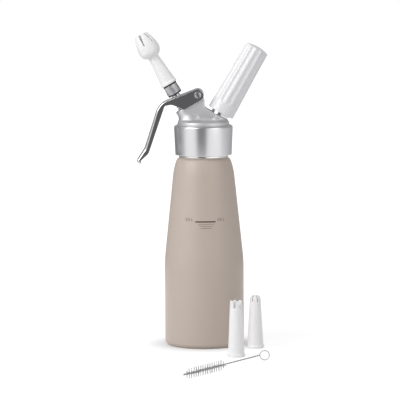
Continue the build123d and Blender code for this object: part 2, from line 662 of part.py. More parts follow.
with BuildPart() as tip_seal:
    ring(TIP_SIDE, TIP_SEAL_A, TIP_A, TIP_SEAL_R, SPIGOT_R + GUIDE_CLEAR)
finish(tip_seal, "tip_seal")


# ---- decorating tips: a conical tube on a foot, with a screwed socket
def tip_foot(section, length, top_r):
    """The outside of a plain tip: a low foot and a cone."""
    cone_foot_r = TIP_FOOT_R - TIP_FOOT_STEP
    turn(section, [
        (0, 0), (TIP_FOOT_R, 0), (TIP_FOOT_R, TIP_FOOT_T), (cone_foot_r, TIP_FOOT_T),
        (top_r, length), (0, length),
    ])


def tip_socket(section):
    """The socket that screws onto the adaptor's spigot."""
    turn(section, [(0, 0), (SOCKET_R, 0), (SOCKET_R, SOCKET_DEPTH), (0, SOCKET_DEPTH)], Mode.SUBTRACT)


def tulip_bulb(section, inset, mode):
    """The bulb of the tulip tip: it swells from the neck and closes in towards the mouth."""
    neck = (TULIP_NECK_R - inset, TULIP_NECK_AT + inset / 2)
    widest = (TULIP_BULB_R - inset, TULIP_BULB_AT)
    mouth = (TULIP_MOUTH_R - inset, TULIP_LENGTH)
    with BuildSketch(section) as outline:
        with BuildLine():
            TangentArc(widest, neck, tangent=(0, -1))
            TangentArc(widest, mouth, tangent=(0, 1))
            Polyline(neck, (0, neck[1]), (0, TULIP_LENGTH), mouth)
        make_face()
    revolve(outline.sketch, axis=Axis(section.origin, section.y_dir), mode=mode)


def notch(length, depth, foot_width, top_width, reach):
    """A wedge that cuts one notch down from a tip's end, from its axis outwards."""
    with BuildPart() as wedge:
        with BuildSketch(Plane.YZ):
            with BuildLine():
                Polyline(
                    (-foot_width / 2, length - depth), (foot_width / 2, length - depth),
                    (top_width / 2, length), (-top_width / 2, length), close=True,
                )
            make_face()
        extrude(amount=reach)
    return wedge.part


tulip_section = section_at(across(TIP_SIDE, TIP_A).origin, TIP_SIDE)
tulip_notch = notch(
    TULIP_LENGTH, TULIP_SLOT_DEPTH, TULIP_SLOT_FOOT, TULIP_SLOT_TOP, TULIP_BULB_R + TIP_WALL
)
with BuildPart(across(TIP_SIDE, TIP_A)) as tulip_tip:
    tip_foot(tulip_section, TULIP_NECK_AT, TULIP_NECK_R)
    tulip_bulb(tulip_section, 0, Mode.ADD)
    tip_socket(tulip_section)
    turn(tulip_section, [
        (0, SOCKET_DEPTH), (TIP_BORE_R, SOCKET_DEPTH), (TULIP_NECK_R - TIP_WALL, TULIP_NECK_AT),
        (TULIP_NECK_R - TIP_WALL, TULIP_NECK_AT + TIP_WALL), (0, TULIP_NECK_AT + TIP_WALL),
    ], Mode.SUBTRACT)
    tulip_bulb(tulip_section, TIP_WALL, Mode.SUBTRACT)
    with PolarLocations(0, TULIP_SLOTS, start_angle=TULIP_SLOT_TURN + FRONT):
        add(tulip_notch, mode=Mode.SUBTRACT)
finish(tulip_tip, "tulip_tip")

slotted_foot = (SLOTTED_PLACE[0], -BODY_R + SLOTTED_PLACE[1], 0)
slotted_section = section_at(slotted_foot)
slotted_notch = notch(
    SLOTTED_LENGTH, SLOTTED_SLOT_DEPTH, SLOTTED_SLOT_FOOT, SLOTTED_SLOT_TOP,
    SLOTTED_TOP_R + TIP_WALL,
)
with BuildPart(Plane(origin=slotted_foot)) as slotted_tip:
    tip_foot(slotted_section, SLOTTED_LENGTH, SLOTTED_TOP_R)
    tip_socket(slotted_section)
    turn(slotted_section, [
        (0, SOCKET_DEPTH), (SLOTTED_TOP_R - TIP_WALL, SOCKET_DEPTH),
        (SLOTTED_TOP_R - TIP_WALL, SLOTTED_LENGTH), (0, SLOTTED_LENGTH),
    ], Mode.SUBTRACT)
    with PolarLocations(0, SLOTTED_SLOTS, start_angle=SLOTTED_SLOT_TURN + FRONT):
        add(slotted_notch, mode=Mode.SUBTRACT)
finish(slotted_tip, "slotted_tip")

star_foot = (BODY_R + STAR_PLACE[0], STAR_PLACE[1], 0)
star_section = section_at(star_foot)
star_slit = notch(
    STAR_LENGTH, STAR_SLIT_DEPTH, STAR_SLIT_WIDTH, STAR_SLIT_WIDTH, STAR_TOP_R + TIP_WALL
)
with BuildPart(Plane(origin=star_foot)) as star_tip:
    with BuildSketch(star_section):
        with BuildLine():
            cone_foot_r = TIP_FOOT_R - TIP_FOOT_STEP
            FilletPolyline(
                (0, 0), (TIP_FOOT_R, 0), (TIP_FOOT_R, TIP_FOOT_T), (cone_foot_r, TIP_FOOT_T),
                (STAR_TOP_R, STAR_LENGTH), (0, STAR_LENGTH),
                radius=[0, 0, 0, 0, STAR_ROUND_R, 0], close=True,
            )
        make_face()
    revolve(axis=Axis(star_section.origin, star_section.y_dir))
    tip_socket(star_section)
    with BuildSketch(star_section):
        with BuildLine():
            FilletPolyline(
                (0, SOCKET_DEPTH), (TIP_BORE_R, SOCKET_DEPTH),
                (STAR_TOP_R - TIP_WALL, STAR_LENGTH - TIP_WALL), (0, STAR_LENGTH - TIP_WALL),
                radius=[0, 0, STAR_ROUND_R - TIP_WALL, 0], close=True,
            )
        make_face()
    revolve(axis=Axis(star_section.origin, star_section.y_dir), mode=Mode.SUBTRACT)
    turn(star_section, [
        (0, STAR_LENGTH - 2 * TIP_WALL), (STAR_MOUTH_R, STAR_LENGTH - 2 * TIP_WALL),
        (STAR_MOUTH_R, STAR_LENGTH), (0, STAR_LENGTH),
    ], Mode.SUBTRACT)
    with PolarLocations(0, STAR_SLITS, start_angle=STAR_SLIT_TURN + FRONT):
        add(star_slit, mode=Mode.SUBTRACT)
finish(star_tip, "star_tip")

# ---- gas inlet: a screwed stud through the casting, with the needle that pierces the charger
with BuildPart() as charger_stud:
    turn(GAS_SECTION, [
        (0, NIPPLE_A), (NIPPLE_R, NIPPLE_A), (NIPPLE_R, SHANK_A), (STUD_SHANK_R, SHANK_A),
        (STUD_SHANK_R, FACET_A), (STUD_R, FACET_A), (STUD_R, STUD_TOP_A), (0, STUD_TOP_A),
    ])
    rod(GAS_SIDE, STUD_RECESS_A, STUD_TOP_A, STUD_RECESS_R, Mode.SUBTRACT)
    rod(GAS_SIDE, NEEDLE_A, STUD_RECESS_A, NEEDLE_R, Mode.SUBTRACT)
    gas_port_a = NIPPLE_A + SLEEVE_GAP + SLEEVE_LENGTH / 2
    rod(GAS_SIDE, gas_port_a - GAS_BORE_R, NEEDLE_A, GAS_BORE_R, Mode.SUBTRACT)
    with BuildSketch(Plane.XZ.offset(-STUD_SHANK_R)):
        with Locations(on_section(GAS_SECTION, 0, gas_port_a)):
            Circle(GAS_BORE_R)
    extrude(amount=2 * STUD_SHANK_R, mode=Mode.SUBTRACT)
finish(charger_stud, "charger_stud")

with BuildPart() as stud_ring:
    with Locations(across(GAS_SIDE, FACET_A - STUD_RING_R).location):
        Torus(STUD_RING_MEAN_R, STUD_RING_R)
finish(stud_ring, "stud_ring")

with BuildPart() as piercing_needle:
    needle_top = NEEDLE_A + NEEDLE_LENGTH
    turn(GAS_SECTION, [
        (NEEDLE_BORE_R, NEEDLE_A), (NEEDLE_R, NEEDLE_A), (NEEDLE_R, needle_top - NEEDLE_TIP),
        (NEEDLE_BORE_R + NEEDLE_EDGE, needle_top), (NEEDLE_BORE_R, needle_top),
    ])
finish(piercing_needle, "piercing_needle")

with BuildPart() as needle_seal:
    ring(
        GAS_SIDE, STUD_RECESS_A, STUD_RECESS_A + NEEDLE_SEAL_T,
        STUD_RECESS_R - NEEDLE_SEAL_GAP, NEEDLE_R + NEEDLE_SEAL_GAP,
    )
finish(needle_seal, "needle_seal")

with BuildPart() as non_return_sleeve:
    sleeve_a = NIPPLE_A + SLEEVE_GAP
    ring(GAS_SIDE, sleeve_a, sleeve_a + SLEEVE_LENGTH, NIPPLE_R + SLEEVE_WALL, NIPPLE_R)
finish(non_return_sleeve, "non_return_sleeve")

# ---- gas charger: a drawn steel capsule with a round end and a pierced neck
with BuildPart() as gas_charger:
    charger_end_a = NECK_END_A + CHARGER_LENGTH
    round_a = charger_end_a - CHARGER_R
    neck_a = NECK_END_A + CHARGER_NECK
    body_a = neck_a + CHARGER_SHOULDER
    inner_r = CHARGER_R - CHARGER_WALL
    turn(GAS_SECTION, [
        (0, NECK_END_A), (CHARGER_NECK_R, NECK_END_A), (CHARGER_NECK_R, neck_a),
        (CHARGER_R, body_a), (CHARGER_R, round_a), (0, round_a),
    ])
    with Locations(across(GAS_SIDE, round_a).location):
        Sphere(CHARGER_R)
    turn(GAS_SECTION, [
        (0, NECK_END_A + CHARGER_CAP_T), (CHARGER_NECK_R - CHARGER_WALL, NECK_END_A + CHARGER_CAP_T),
        (CHARGER_NECK_R - CHARGER_WALL, neck_a + CHARGER_WALL / 2),
        (inner_r, body_a + CHARGER_WALL / 2), (inner_r, round_a), (0, round_a),
    ], Mode.SUBTRACT)
    with Locations(across(GAS_SIDE, round_a).location):
        Sphere(inner_r, mode=Mode.SUBTRACT)
    rod(
        GAS_SIDE, NECK_END_A, NECK_END_A + CHARGER_CAP_T, NEEDLE_R + PIERCED_GAP, Mode.SUBTRACT
    )
finish(gas_charger, "gas_charger")


# ---- charger holder: a moulded cup, screwed onto the stud, with flutes for the fingers
def flute_cutter():
    """A round bar along the holder's wall, that ends round near the rim."""
    lean = degrees(atan((HOLDER_RIM_R - HOLDER_TOP_R) / HOLDER_LENGTH))
    start_r = HOLDER_RIM_R - FLUTE_START * tan(radians(lean)) + FLUTE_R - FLUTE_DEPTH
    bar_foot = Plane(
        origin=(start_r, 0, FLUTE_START + FLUTE_R), z_dir=(-deg_sin(lean), 0, deg_cos(lean))
    )
    with BuildPart() as cutter:
        with BuildSketch(bar_foot):
            Circle(FLUTE_R)
        extrude(amount=HOLDER_LENGTH)
        with Locations(bar_foot.location):
            Sphere(FLUTE_R)
    return cutter.part


holder_section = section_at(across(GAS_SIDE, HOLDER_A).origin, GAS_SIDE)
flute = flute_cutter()
with BuildPart(across(GAS_SIDE, HOLDER_A)) as charger_holder:
    with BuildSketch(holder_section):
        with BuildLine():
            FilletPolyline(
                (0, 0), (HOLDER_RIM_R, 0), (HOLDER_TOP_R, HOLDER_LENGTH - HOLDER_DOME),
                (0, HOLDER_LENGTH), radius=[0, HOLDER_LIP_R, HOLDER_EDGE_R, 0], close=True,
            )
        make_face()
    revolve(axis=Axis(holder_section.origin, holder_section.y_dir))
    with PolarLocations(0, FLUTES, start_angle=FLUTE_TURN + FRONT):
        add(flute, mode=Mode.SUBTRACT)
    bore_top_a = NECK_END_A + CHARGER_LENGTH + CHARGER_PLAY
    rod(GAS_SIDE, HOLDER_A, bore_top_a, HOLDER_BORE_R, Mode.SUBTRACT)
finish(charger_holder, "charger_holder")

# ---- cleaning brush: twisted wire that lies on the table, and its ring is bent round to the front
brush_ring_centre = (
    BRUSH_PLACE[0], -BODY_R + BRUSH_PLACE[1], BRUSH_RING_R + BRUSH_WIRE_R
)
brush_way = Vector(deg_cos(BRUSH_ANGLE), deg_sin(BRUSH_ANGLE), 0)
brush_side = Vector(-deg_sin(BRUSH_ANGLE), deg_cos(BRUSH_ANGLE), 0)
wire_start = Vector(brush_ring_centre) - Vector(BRUSH_RING_R, 0, 0)
with BuildPart() as brush_wire:
    with Locations(Plane(origin=brush_ring_centre, x_dir=(1, 0, 0), z_dir=(0, -1, 0)).location):
        Torus(BRUSH_RING_R, BRUSH_WIRE_R)
    with BuildSketch(Plane(origin=wire_start, z_dir=brush_way)):
        Circle(BRUSH_WIRE_R)
    extrude(amount=BRUSH_WIRE_LENGTH)
finish(brush_wire, "brush_wire")

with BuildPart() as brush_bristles:
    bristle_start = wire_start + brush_way * (BRUSH_WIRE_LENGTH - BRUSH_BRISTLES - BRUSH_TAIL)
    bristle_section = Plane(
        origin=bristle_start, x_dir=brush_side, z_dir=brush_side.cross(brush_way)
    )
    turn(bristle_section, [
        (BRUSH_WIRE_R, 0), (BRUSH_R, BRUSH_FOOT_TAPER), (BRUSH_R, BRUSH_BRISTLES - BRUSH_TAPER),
        (BRUSH_R / 2, BRUSH_BRISTLES), (BRUSH_WIRE_R, BRUSH_BRISTLES),
    ])
finish(brush_bristles, "brush_bristles")
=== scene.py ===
import math
import random

import bmesh
import bpy
from mathutils import Matrix, Vector


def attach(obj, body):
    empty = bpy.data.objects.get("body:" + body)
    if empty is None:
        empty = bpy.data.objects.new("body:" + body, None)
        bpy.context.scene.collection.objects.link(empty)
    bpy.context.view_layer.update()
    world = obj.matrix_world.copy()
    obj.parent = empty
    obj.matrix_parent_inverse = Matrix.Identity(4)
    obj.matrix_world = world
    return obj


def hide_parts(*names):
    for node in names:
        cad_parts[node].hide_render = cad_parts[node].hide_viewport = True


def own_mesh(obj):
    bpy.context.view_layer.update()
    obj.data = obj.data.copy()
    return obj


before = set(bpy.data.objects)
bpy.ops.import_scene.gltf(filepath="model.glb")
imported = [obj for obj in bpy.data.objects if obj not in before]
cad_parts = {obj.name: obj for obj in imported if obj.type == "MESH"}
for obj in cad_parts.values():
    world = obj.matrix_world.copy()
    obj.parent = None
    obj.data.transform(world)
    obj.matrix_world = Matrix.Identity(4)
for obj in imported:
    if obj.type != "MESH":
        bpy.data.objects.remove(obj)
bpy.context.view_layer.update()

MM = 0.001


# ---- Studio: a white sweep with the set on it, lit by two soft boxes and the white room. Grey cards
# stand close round it, as in any studio that pictures bright metal, and only mirrors see them.
VIEW_DISTANCE, VIEW_HEIGHT, VIEW_SIDE = 2.554, 0.404, -0.0039      # the camera's place, in metres
VIEW_PITCH, VIEW_ROLL = 5.75, 0.35      # how far it looks down and is turned clockwise, in degrees
LENS = 228.0      # long, so that upright things stay nearly upright


def linear(hex_code):
    """A written sRGB colour as the linear one that the shaders take."""
    parts = [int(hex_code[start:start + 2], 16) / 255 for start in (1, 3, 5)]
    return (*[p / 12.92 if p <= 0.04045 else ((p + 0.055) / 1.055) ** 2.4 for p in parts], 1.0)


def add_node(tree, kind, inputs=None, **settings):
    """Adds a shader node. Settings are its own fields, and inputs are values or other nodes' outputs."""
    made = tree.nodes.new(kind)
    for name, value in settings.items():
        setattr(made, name, value)
    for name, value in (inputs or {}).items():
        if isinstance(value, bpy.types.NodeSocket):
            tree.links.new(value, made.inputs[name])
        else:
            made.inputs[name].default_value = value
    return made


def new_material(name):
    """A material with only its output node, and its node tree."""
    material = bpy.data.materials.new(name)
    material.use_nodes = True
    material.node_tree.nodes.clear()
    add_node(material.node_tree, "ShaderNodeOutputMaterial")
    return material, material.node_tree


def seen_directly(tree):
    """1 for what the camera, mirrors and glass see, and 0 for the light that falls on the set."""
    path = add_node(tree, "ShaderNodeLightPath")
    shiny = add_node(tree, "ShaderNodeMath", {
        0: path.outputs["Is Glossy Ray"], 1: path.outputs["Is Transmission Ray"],
    }, operation="MAXIMUM")
    return add_node(tree, "ShaderNodeMath", {
        0: shiny.outputs[0], 1: path.outputs["Is Camera Ray"],
    }, operation="MAXIMUM").outputs[0]


ROOM_LIGHT, CEILING_SHARE = 0.58, 0.4
CEILING_LOW, CEILING_HIGH = 0.35, 0.85      # the room darkens upwards between these heights of a unit sphere
world = bpy.data.worlds.new("white_room")
world.use_nodes = True
world.node_tree.nodes.clear()
room = world.node_tree
room_glow = add_node(room, "ShaderNodeBackground", {"Color": linear("#fbf9fc"), "Strength": ROOM_LIGHT})
sky_way = add_node(room, "ShaderNodeTexCoord").outputs["Generated"]
upward = add_node(room, "ShaderNodeSeparateXYZ", {"Vector": sky_way}).outputs["Z"]
ceiling = add_node(room, "ShaderNodeMapRange", {
    "Value": upward, "From Min": CEILING_LOW, "From Max": CEILING_HIGH,
    "To Min": 1.0, "To Max": CEILING_SHARE,
}, interpolation_type="SMOOTHSTEP").outputs[0]
room_white = add_node(room, "ShaderNodeBackground", {"Color": linear("#ffffff"), "Strength": ceiling})
room_mix = add_node(room, "ShaderNodeMixShader", {
    0: seen_directly(room), 1: room_glow.outputs[0], 2: room_white.outputs[0],
})
add_node(room, "ShaderNodeOutputWorld", {"Surface": room_mix.outputs[0]})
bpy.context.scene.world = world

FLOOR_RADIUS = 6.0
SHADOW_NEAR, SHADOW_FAR, SHADOW_SHARE = 0.10, 0.34, 0.27      # the shading fades out between these radii
CONTACT_NEAR, CONTACT_FAR, CONTACT_SHARE = 0.036, 0.066, 0.82      # and more is kept at the bottle's foot
FLOOR_GLOW = 1.16      # over 1, so that the paper outside the shadow is as white as the room
# Background paper: matt and nearly white. Seen directly, it is plain white but for the shading.
floor_material, tree = new_material("white_floor")
place = add_node(tree, "ShaderNodeTexCoord").outputs["Object"]
reach = add_node(tree, "ShaderNodeVectorMath", {0: place}, operation="LENGTH").outputs["Value"]
contact = add_node(tree, "ShaderNodeMapRange", {
    "Value": reach, "From Min": CONTACT_NEAR, "From Max": CONTACT_FAR,
    "To Min": CONTACT_SHARE, "To Max": SHADOW_SHARE,
}, interpolation_type="SMOOTHSTEP").outputs[0]
shading = add_node(tree, "ShaderNodeMapRange", {
    "Value": reach, "From Min": SHADOW_NEAR, "From Max": SHADOW_FAR,
    "To Min": contact, "To Max": 0.0,
}, interpolation_type="SMOOTHSTEP").outputs[0]
paper = add_node(tree, "ShaderNodeBsdfDiffuse", {"Color": linear("#ededed")}).outputs[0]
dim_paper = add_node(tree, "ShaderNodeBsdfDiffuse", {"Color": linear("#d8d8d8")}).outputs[0]
white = add_node(tree, "ShaderNodeEmission", {"Color": linear("#ffffff"), "Strength": FLOOR_GLOW}).outputs[0]
lit = add_node(tree, "ShaderNodeMixShader", {0: shading, 1: white, 2: paper}).outputs[0]
shown = add_node(tree, "ShaderNodeMixShader", {0: seen_directly(tree), 1: dim_paper, 2: lit}).outputs[0]
tree.links.new(shown, tree.nodes["Material Output"].inputs["Surface"])

bm = bmesh.new()
bmesh.ops.create_circle(bm, cap_ends=True, radius=FLOOR_RADIUS, segments=96)
floor_mesh = bpy.data.meshes.new("floor")
bm.to_mesh(floor_mesh)
bm.free()
floor = bpy.data.objects.new("floor", floor_mesh)
floor.data.materials.append(floor_material)
bpy.context.scene.collection.objects.link(floor)

LAMP_AIM_HEIGHT = 0.16


def soft_box(name, azimuth, height, distance, size, power):
    """A square lamp that faces the set's middle. Azimuth 0 is the camera's side, and 90 is +X."""
    lamp = bpy.data.lights.new(name, "AREA")
    lamp.size = size
    lamp.energy = power
    made = bpy.data.objects.new(name, lamp)
    turn = math.radians(azimuth)
    made.location = (distance * math.sin(turn), -distance * math.cos(turn), height)
    aim = Vector((0, 0, LAMP_AIM_HEIGHT)) - made.location
    made.rotation_euler = aim.to_track_quat("-Z", "Y").to_euler()
    bpy.context.scene.collection.objects.link(made)


soft_box("key_lamp", -55, height=1.45, distance=1.9, size=1.6, power=30.0)
soft_box("fill_lamp", 48, height=0.9, distance=2.2, size=1.3, power=5.0)

CARD_DISTANCE, CARD_STEPS = 0.6, 12


def grey_card(name, start, end, low, top, shade):
    """An upright card round the set from one azimuth to another, that only mirrors see."""
    material, tree = new_material(name)
    glow = add_node(tree, "ShaderNodeEmission", {"Color": linear(shade), "Strength": 1.0}).outputs[0]
    tree.links.new(glow, tree.nodes["Material Output"].inputs["Surface"])
    bm = bmesh.new()
    turn = math.radians(start)
    foot = bm.verts.new((CARD_DISTANCE * math.sin(turn), -CARD_DISTANCE * math.cos(turn), low))
    head = bm.verts.new((foot.co.x, foot.co.y, top))
    edge = bm.edges.new((foot, head))
    bmesh.ops.spin(
        bm, geom=[foot, head, edge], axis=(0, 0, 1), cent=(0, 0, 0), steps=CARD_STEPS,
        angle=math.radians(end - start),
    )
    mesh = bpy.data.meshes.new(name)
    bm.to_mesh(mesh)
    bm.free()
    card = bpy.data.objects.new(name, mesh)
    card.data.materials.append(material)
    card.visible_camera = card.visible_diffuse = card.visible_transmission = False
    card.visible_shadow = card.visible_volume_scatter = False
    bpy.context.scene.collection.objects.link(card)


grey_card("front_card", -26, 12, 0.0, 0.14, "#7c7c7c")
grey_card("front_card_top", -27, 12, 0.14, 0.9, "#727272")
grey_card("left_card", -180, -98, 0.0, 0.26, "#8c8c8c")
grey_card("left_card_edge", -98, -80, 0.0, 0.26, "#c4c4c4")
grey_card("left_card_top", -215, -71, 0.26, 0.62, "#b2b2b2")
grey_card("right_card", 124, 180, 0.0, 0.26, "#b6b6b6")
grey_card("right_card_edge", 100, 124, 0.0, 0.26, "#d2d2d2")
grey_card("right_card_rim", 76, 100, 0.0, 0.26, "#e8e8e8")
grey_card("right_card_top", 70, 145, 0.26, 0.7, "#acacac")

camera_data = bpy.data.cameras.new("camera")
camera_data.lens = LENS
camera = bpy.data.objects.new("camera", camera_data)
camera.matrix_world = (
    Matrix.Translation((VIEW_SIDE, -VIEW_DISTANCE, VIEW_HEIGHT))
    @ Matrix.Rotation(math.radians(90 - VIEW_PITCH), 4, "X")
    @ Matrix.Rotation(math.radians(-VIEW_ROLL), 4, "Z")
)
bpy.context.scene.collection.objects.link(camera)
bpy.context.scene.camera = camera
bpy.context.scene.view_settings.view_transform = "Standard"


# ---- Bottle: drawn and spun aluminium of one piece. Its outside is powder coated in a warm taupe up
# to the neck, and the screwed neck and the inside are left bare.
BODY_R, CONE_FOOT_Z, CONE_TOP_Z, CONE_TOP_R = 40.0, 86.0, 171.5, 31.1
SHOULDER_R, SHOULDER_Z = 27.6, 187.2
NECK_R, NECK_CORE_R, NECK_FOOT_Z, THREAD_FOOT_Z, NECK_TOP_Z = 24.9, 24.0, 190.0, 193.0, 212.0
NECK_LEAD, NECK_STARTS = 6.0, 2
WAIST_R, FOOT_R, FOOT_HOLLOW = 150.0, 5.0, 2.0
FOOT_RING_INNER_R = BODY_R - FOOT_R - 4.0
WALL, FLOOR_T, MOUTH_R, MOUTH_EDGE_R = 1.6, 2.0, 22.0, 0.5
COAT_EDGE_Z = 191.2
CLOUD_SIZE, GLOSS_SPREAD = 50 / 3, 0.04      # the width of a finish's clouds, and how uneven its gloss is


def rounded(corners, radii, steps=6):
    """The points of an open outline whose corners are rounded; a radius of 0 leaves one sharp."""
    points = []
    for number, (corner, radius) in enumerate(zip(corners, radii)):
        here = Vector(corner)
        if not radius or number in (0, len(corners) - 1):
            points.append(here)
            continue
        back = (Vector(corners[number - 1]) - here).normalized()
        ahead = (Vector(corners[number + 1]) - here).normalized()
        half = back.angle(ahead) / 2
        centre = here + (back + ahead).normalized() * radius / math.sin(half)
        first = here + back * radius / math.tan(half) - centre
        last = here + ahead * radius / math.tan(half) - centre
        whole = first.angle_signed(last)
        for step in range(steps + 1):
            points.append(centre + Matrix.Rotation(-whole * step / steps, 2) @ first)
    return points


def swing(start, end, way, steps=8):
    """The points of the arc from start to end that leaves start along a way."""
    start, end, way = Vector(start), Vector(end), Vector(way).normalized()
    chord = end - start
    lean = way.angle_signed(chord)
    side = Vector((-way.y, way.x))
    if abs(lean) < 1e-6:
        return [start, end]
    centre = start + side * (chord.length_squared / (2 * side.dot(chord)))
    arm = start - centre
    return [centre + Matrix.Rotation(-2 * lean * step / steps, 2) @ arm for step in range(steps + 1)]


def spun(outline, steps=128, closed=False):
    """A mesh turned about z from points of radius and height in millimetres."""
    bm = bmesh.new()
    verts = [bm.verts.new((radius * MM, 0, height * MM)) for radius, height in outline]
    pairs = list(zip(verts, verts[1:])) + ([(verts[-1], verts[0])] if closed else [])
    edges = [bm.edges.new(pair) for pair in pairs]
    bmesh.ops.spin(
        bm, geom=verts + edges, axis=(0, 0, 1), cent=(0, 0, 0), steps=steps,
        angle=math.tau, use_merge=True,
    )
    bmesh.ops.remove_doubles(bm, verts=bm.verts, dist=0.002 * MM)
    bmesh.ops.dissolve_degenerate(bm, edges=bm.edges, dist=0.001 * MM)
    bmesh.ops.recalc_face_normals(bm, faces=bm.faces)
    return bm


def fit(bm, name, materials, body, slot, *nodes, sharp=35):
    """Makes the mesh a piece of the object, smooth but at edges sharper than an angle in degrees."""
    mesh = bpy.data.meshes.new(name)
    bm.to_mesh(mesh)
    bm.free()
    for material in materials:
        mesh.materials.append(material)
    mesh.shade_smooth()
    mesh.set_sharp_from_angle(angle=math.radians(sharp))
    piece = bpy.data.objects.new(name, mesh)
    bpy.context.scene.collection.objects.link(piece)
    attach(piece, body)
    if nodes:
        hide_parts(*nodes)
    return piece


def surface(
    name, color, roughness, metallic=0.0, grain=0.5, depth=0.02, mottle=0.03, stretch=(1, 1, 1), **more
):
    """A finish with a fine grain: its size and depth in millimetres, and how much its tone varies."""
    material, tree = new_material(name)
    where = add_node(tree, "ShaderNodeTexCoord").outputs["Object"]
    drawn = add_node(tree, "ShaderNodeMapping", {"Vector": where, "Scale": stretch}).outputs[0]
    grit = add_node(tree, "ShaderNodeTexNoise", {
        "Vector": drawn, "Scale": 1 / (grain * MM), "Detail": 3.0, "Roughness": 0.6,
    }).outputs["Fac"]
    cloud = add_node(tree, "ShaderNodeTexNoise", {
        "Vector": where, "Scale": 1 / (CLOUD_SIZE * MM), "Detail": 2.0,
    }).outputs["Fac"]
    tone = add_node(tree, "ShaderNodeMapRange", {
        "Value": cloud, "To Min": 1 - mottle, "To Max": 1.0,
    }).outputs[0]
    shade = add_node(tree, "ShaderNodeVectorMath", {
        0: linear(color)[:3], "Scale": tone,
    }, operation="SCALE").outputs[0]
    dull = add_node(tree, "ShaderNodeMapRange", {
        "Value": grit, "To Min": roughness - GLOSS_SPREAD, "To Max": roughness + GLOSS_SPREAD,
    }).outputs[0]
    rise = add_node(tree, "ShaderNodeBump", {
        "Height": grit, "Distance": depth * MM, "Strength": 1.0,
    }).outputs[0]
    skin = add_node(tree, "ShaderNodeBsdfPrincipled", {
        "Base Color": shade, "Metallic": metallic, "Roughness": dull, "Normal": rise, **more,
    }).outputs[0]
    tree.links.new(skin, tree.nodes["Material Output"].inputs["Surface"])
    return material


# Powder coat: sprayed polyester, baked to a satin skin with a faint orange peel.
powder_coat = surface("taupe_powder_coat", "#c2b5a9", 0.36, grain=1.6, depth=0.010, mottle=0.015, IOR=1.45)
# Bare aluminium: cut on the lathe, so it is bright and finely ringed. The rings are drawn coarser
# than the tool leaves them, so that they show.
turned_aluminium = surface(
    "turned_aluminium", "#e6e6e8", 0.26, metallic=1.0, grain=0.9, depth=0.010, mottle=0.04,
    stretch=(0.06, 0.06, 1.6),
)


def screw_thread(foot, top, core, crest, lead, starts, phase=0.0, width=1.5, steps=40):
    """Right-handed ridges from a core radius to a crest radius, run out at both ends."""
    bm = bmesh.new()
    turns = (top - foot - width) / lead
    for start in range(starts):
        offset = foot + width / 2 + phase
        ridge = ((core, -width / 2), (crest, -width / 6), (crest, width / 6), (core, width / 2))
        root = [bm.verts.new((radius * MM, 0, (offset + rise) * MM)) for radius, rise in ridge]
        edges = [bm.edges.new((root[i], root[(i + 1) % 4])) for i in range(4)]
        bmesh.ops.rotate(
            bm, verts=root, cent=(0, 0, 0), matrix=Matrix.Rotation(math.tau * start / starts, 3, "Z")
        )
        count = round(turns * steps)
        bm.faces.new(root)
        made = bmesh.ops.spin(
            bm, geom=root + edges, axis=(0, 0, 1), cent=(0, 0, 0), steps=count,
            angle=math.tau * turns, dvec=(0, 0, lead * turns * MM / count),
        )
        last = [item for item in made["geom_last"] if isinstance(item, bmesh.types.BMVert)]
        ring = [item for item in made["geom_last"] if isinstance(item, bmesh.types.BMEdge)]
        bmesh.ops.contextual_create(bm, geom=ring)
        for end in (root, last):
            for vert in end:
                radius = math.hypot(vert.co.x, vert.co.y)
                vert.co.x *= core * MM / radius
                vert.co.y *= core * MM / radius
    bmesh.ops.recalc_face_normals(bm, faces=bm.faces)
    return bm


def merge(bm, other):
    """Adds another mesh to this one."""
    mesh = bpy.data.meshes.new("added")
    other.to_mesh(mesh)
    other.free()
    bm.from_mesh(mesh)
    bpy.data.meshes.remove(mesh)


cone_way = (CONE_TOP_R - BODY_R, CONE_TOP_Z - CONE_FOOT_Z)
outside = rounded(
    [
        (0, FOOT_HOLLOW), (FOOT_RING_INNER_R - FOOT_HOLLOW, FOOT_HOLLOW), (FOOT_RING_INNER_R, 0),
        (BODY_R, 0), (BODY_R, CONE_FOOT_Z), (CONE_TOP_R, CONE_TOP_Z),
    ],
    [0, 0, 0.6, FOOT_R, WAIST_R, 0], steps=10,
)
turn_in = swing((CONE_TOP_R, CONE_TOP_Z), (SHOULDER_R, SHOULDER_Z), cone_way)
outside += turn_in[1:]
outside += swing(turn_in[-1], (NECK_R, NECK_FOOT_Z), turn_in[-1] - turn_in[-2], steps=6)[1:]
outside += rounded(
    [
        (NECK_R, NECK_FOOT_Z), (NECK_R, COAT_EDGE_Z), (NECK_R, THREAD_FOOT_Z),
        (NECK_CORE_R, THREAD_FOOT_Z + 0.6), (NECK_CORE_R, NECK_TOP_Z), (MOUTH_R, NECK_TOP_Z),
        (MOUTH_R, SHOULDER_Z + 1.4),
    ],
    [0, 0, 0.2, 0.2, MOUTH_EDGE_R, MOUTH_EDGE_R, 0], steps=4,
)[1:]
inner_top = swing((CONE_TOP_R - WALL, CONE_TOP_Z), (SHOULDER_R - WALL, SHOULDER_Z), cone_way)
outside += reversed(inner_top)
outside += rounded(
    [
        (CONE_TOP_R - WALL, CONE_TOP_Z), (BODY_R - WALL, CONE_FOOT_Z),
        (BODY_R - WALL, FOOT_HOLLOW + FLOOR_T), (0, FOOT_HOLLOW + FLOOR_T),
    ],
    [0, WAIST_R, FOOT_R - WALL, 0], steps=10,
)[1:]
bm = spun(outside, steps=160)
for face in bm.faces:
    middle = face.calc_center_median()
    from_axis = math.hypot(middle.x, middle.y)
    inside = face.normal.dot(Vector((middle.x, middle.y, 0))) < 0 or middle.z > COAT_EDGE_Z * MM
    on_floor = from_axis < MOUTH_R * MM and middle.z > (FOOT_HOLLOW + FLOOR_T / 2) * MM
    face.material_index = 1 if inside or on_floor else 0
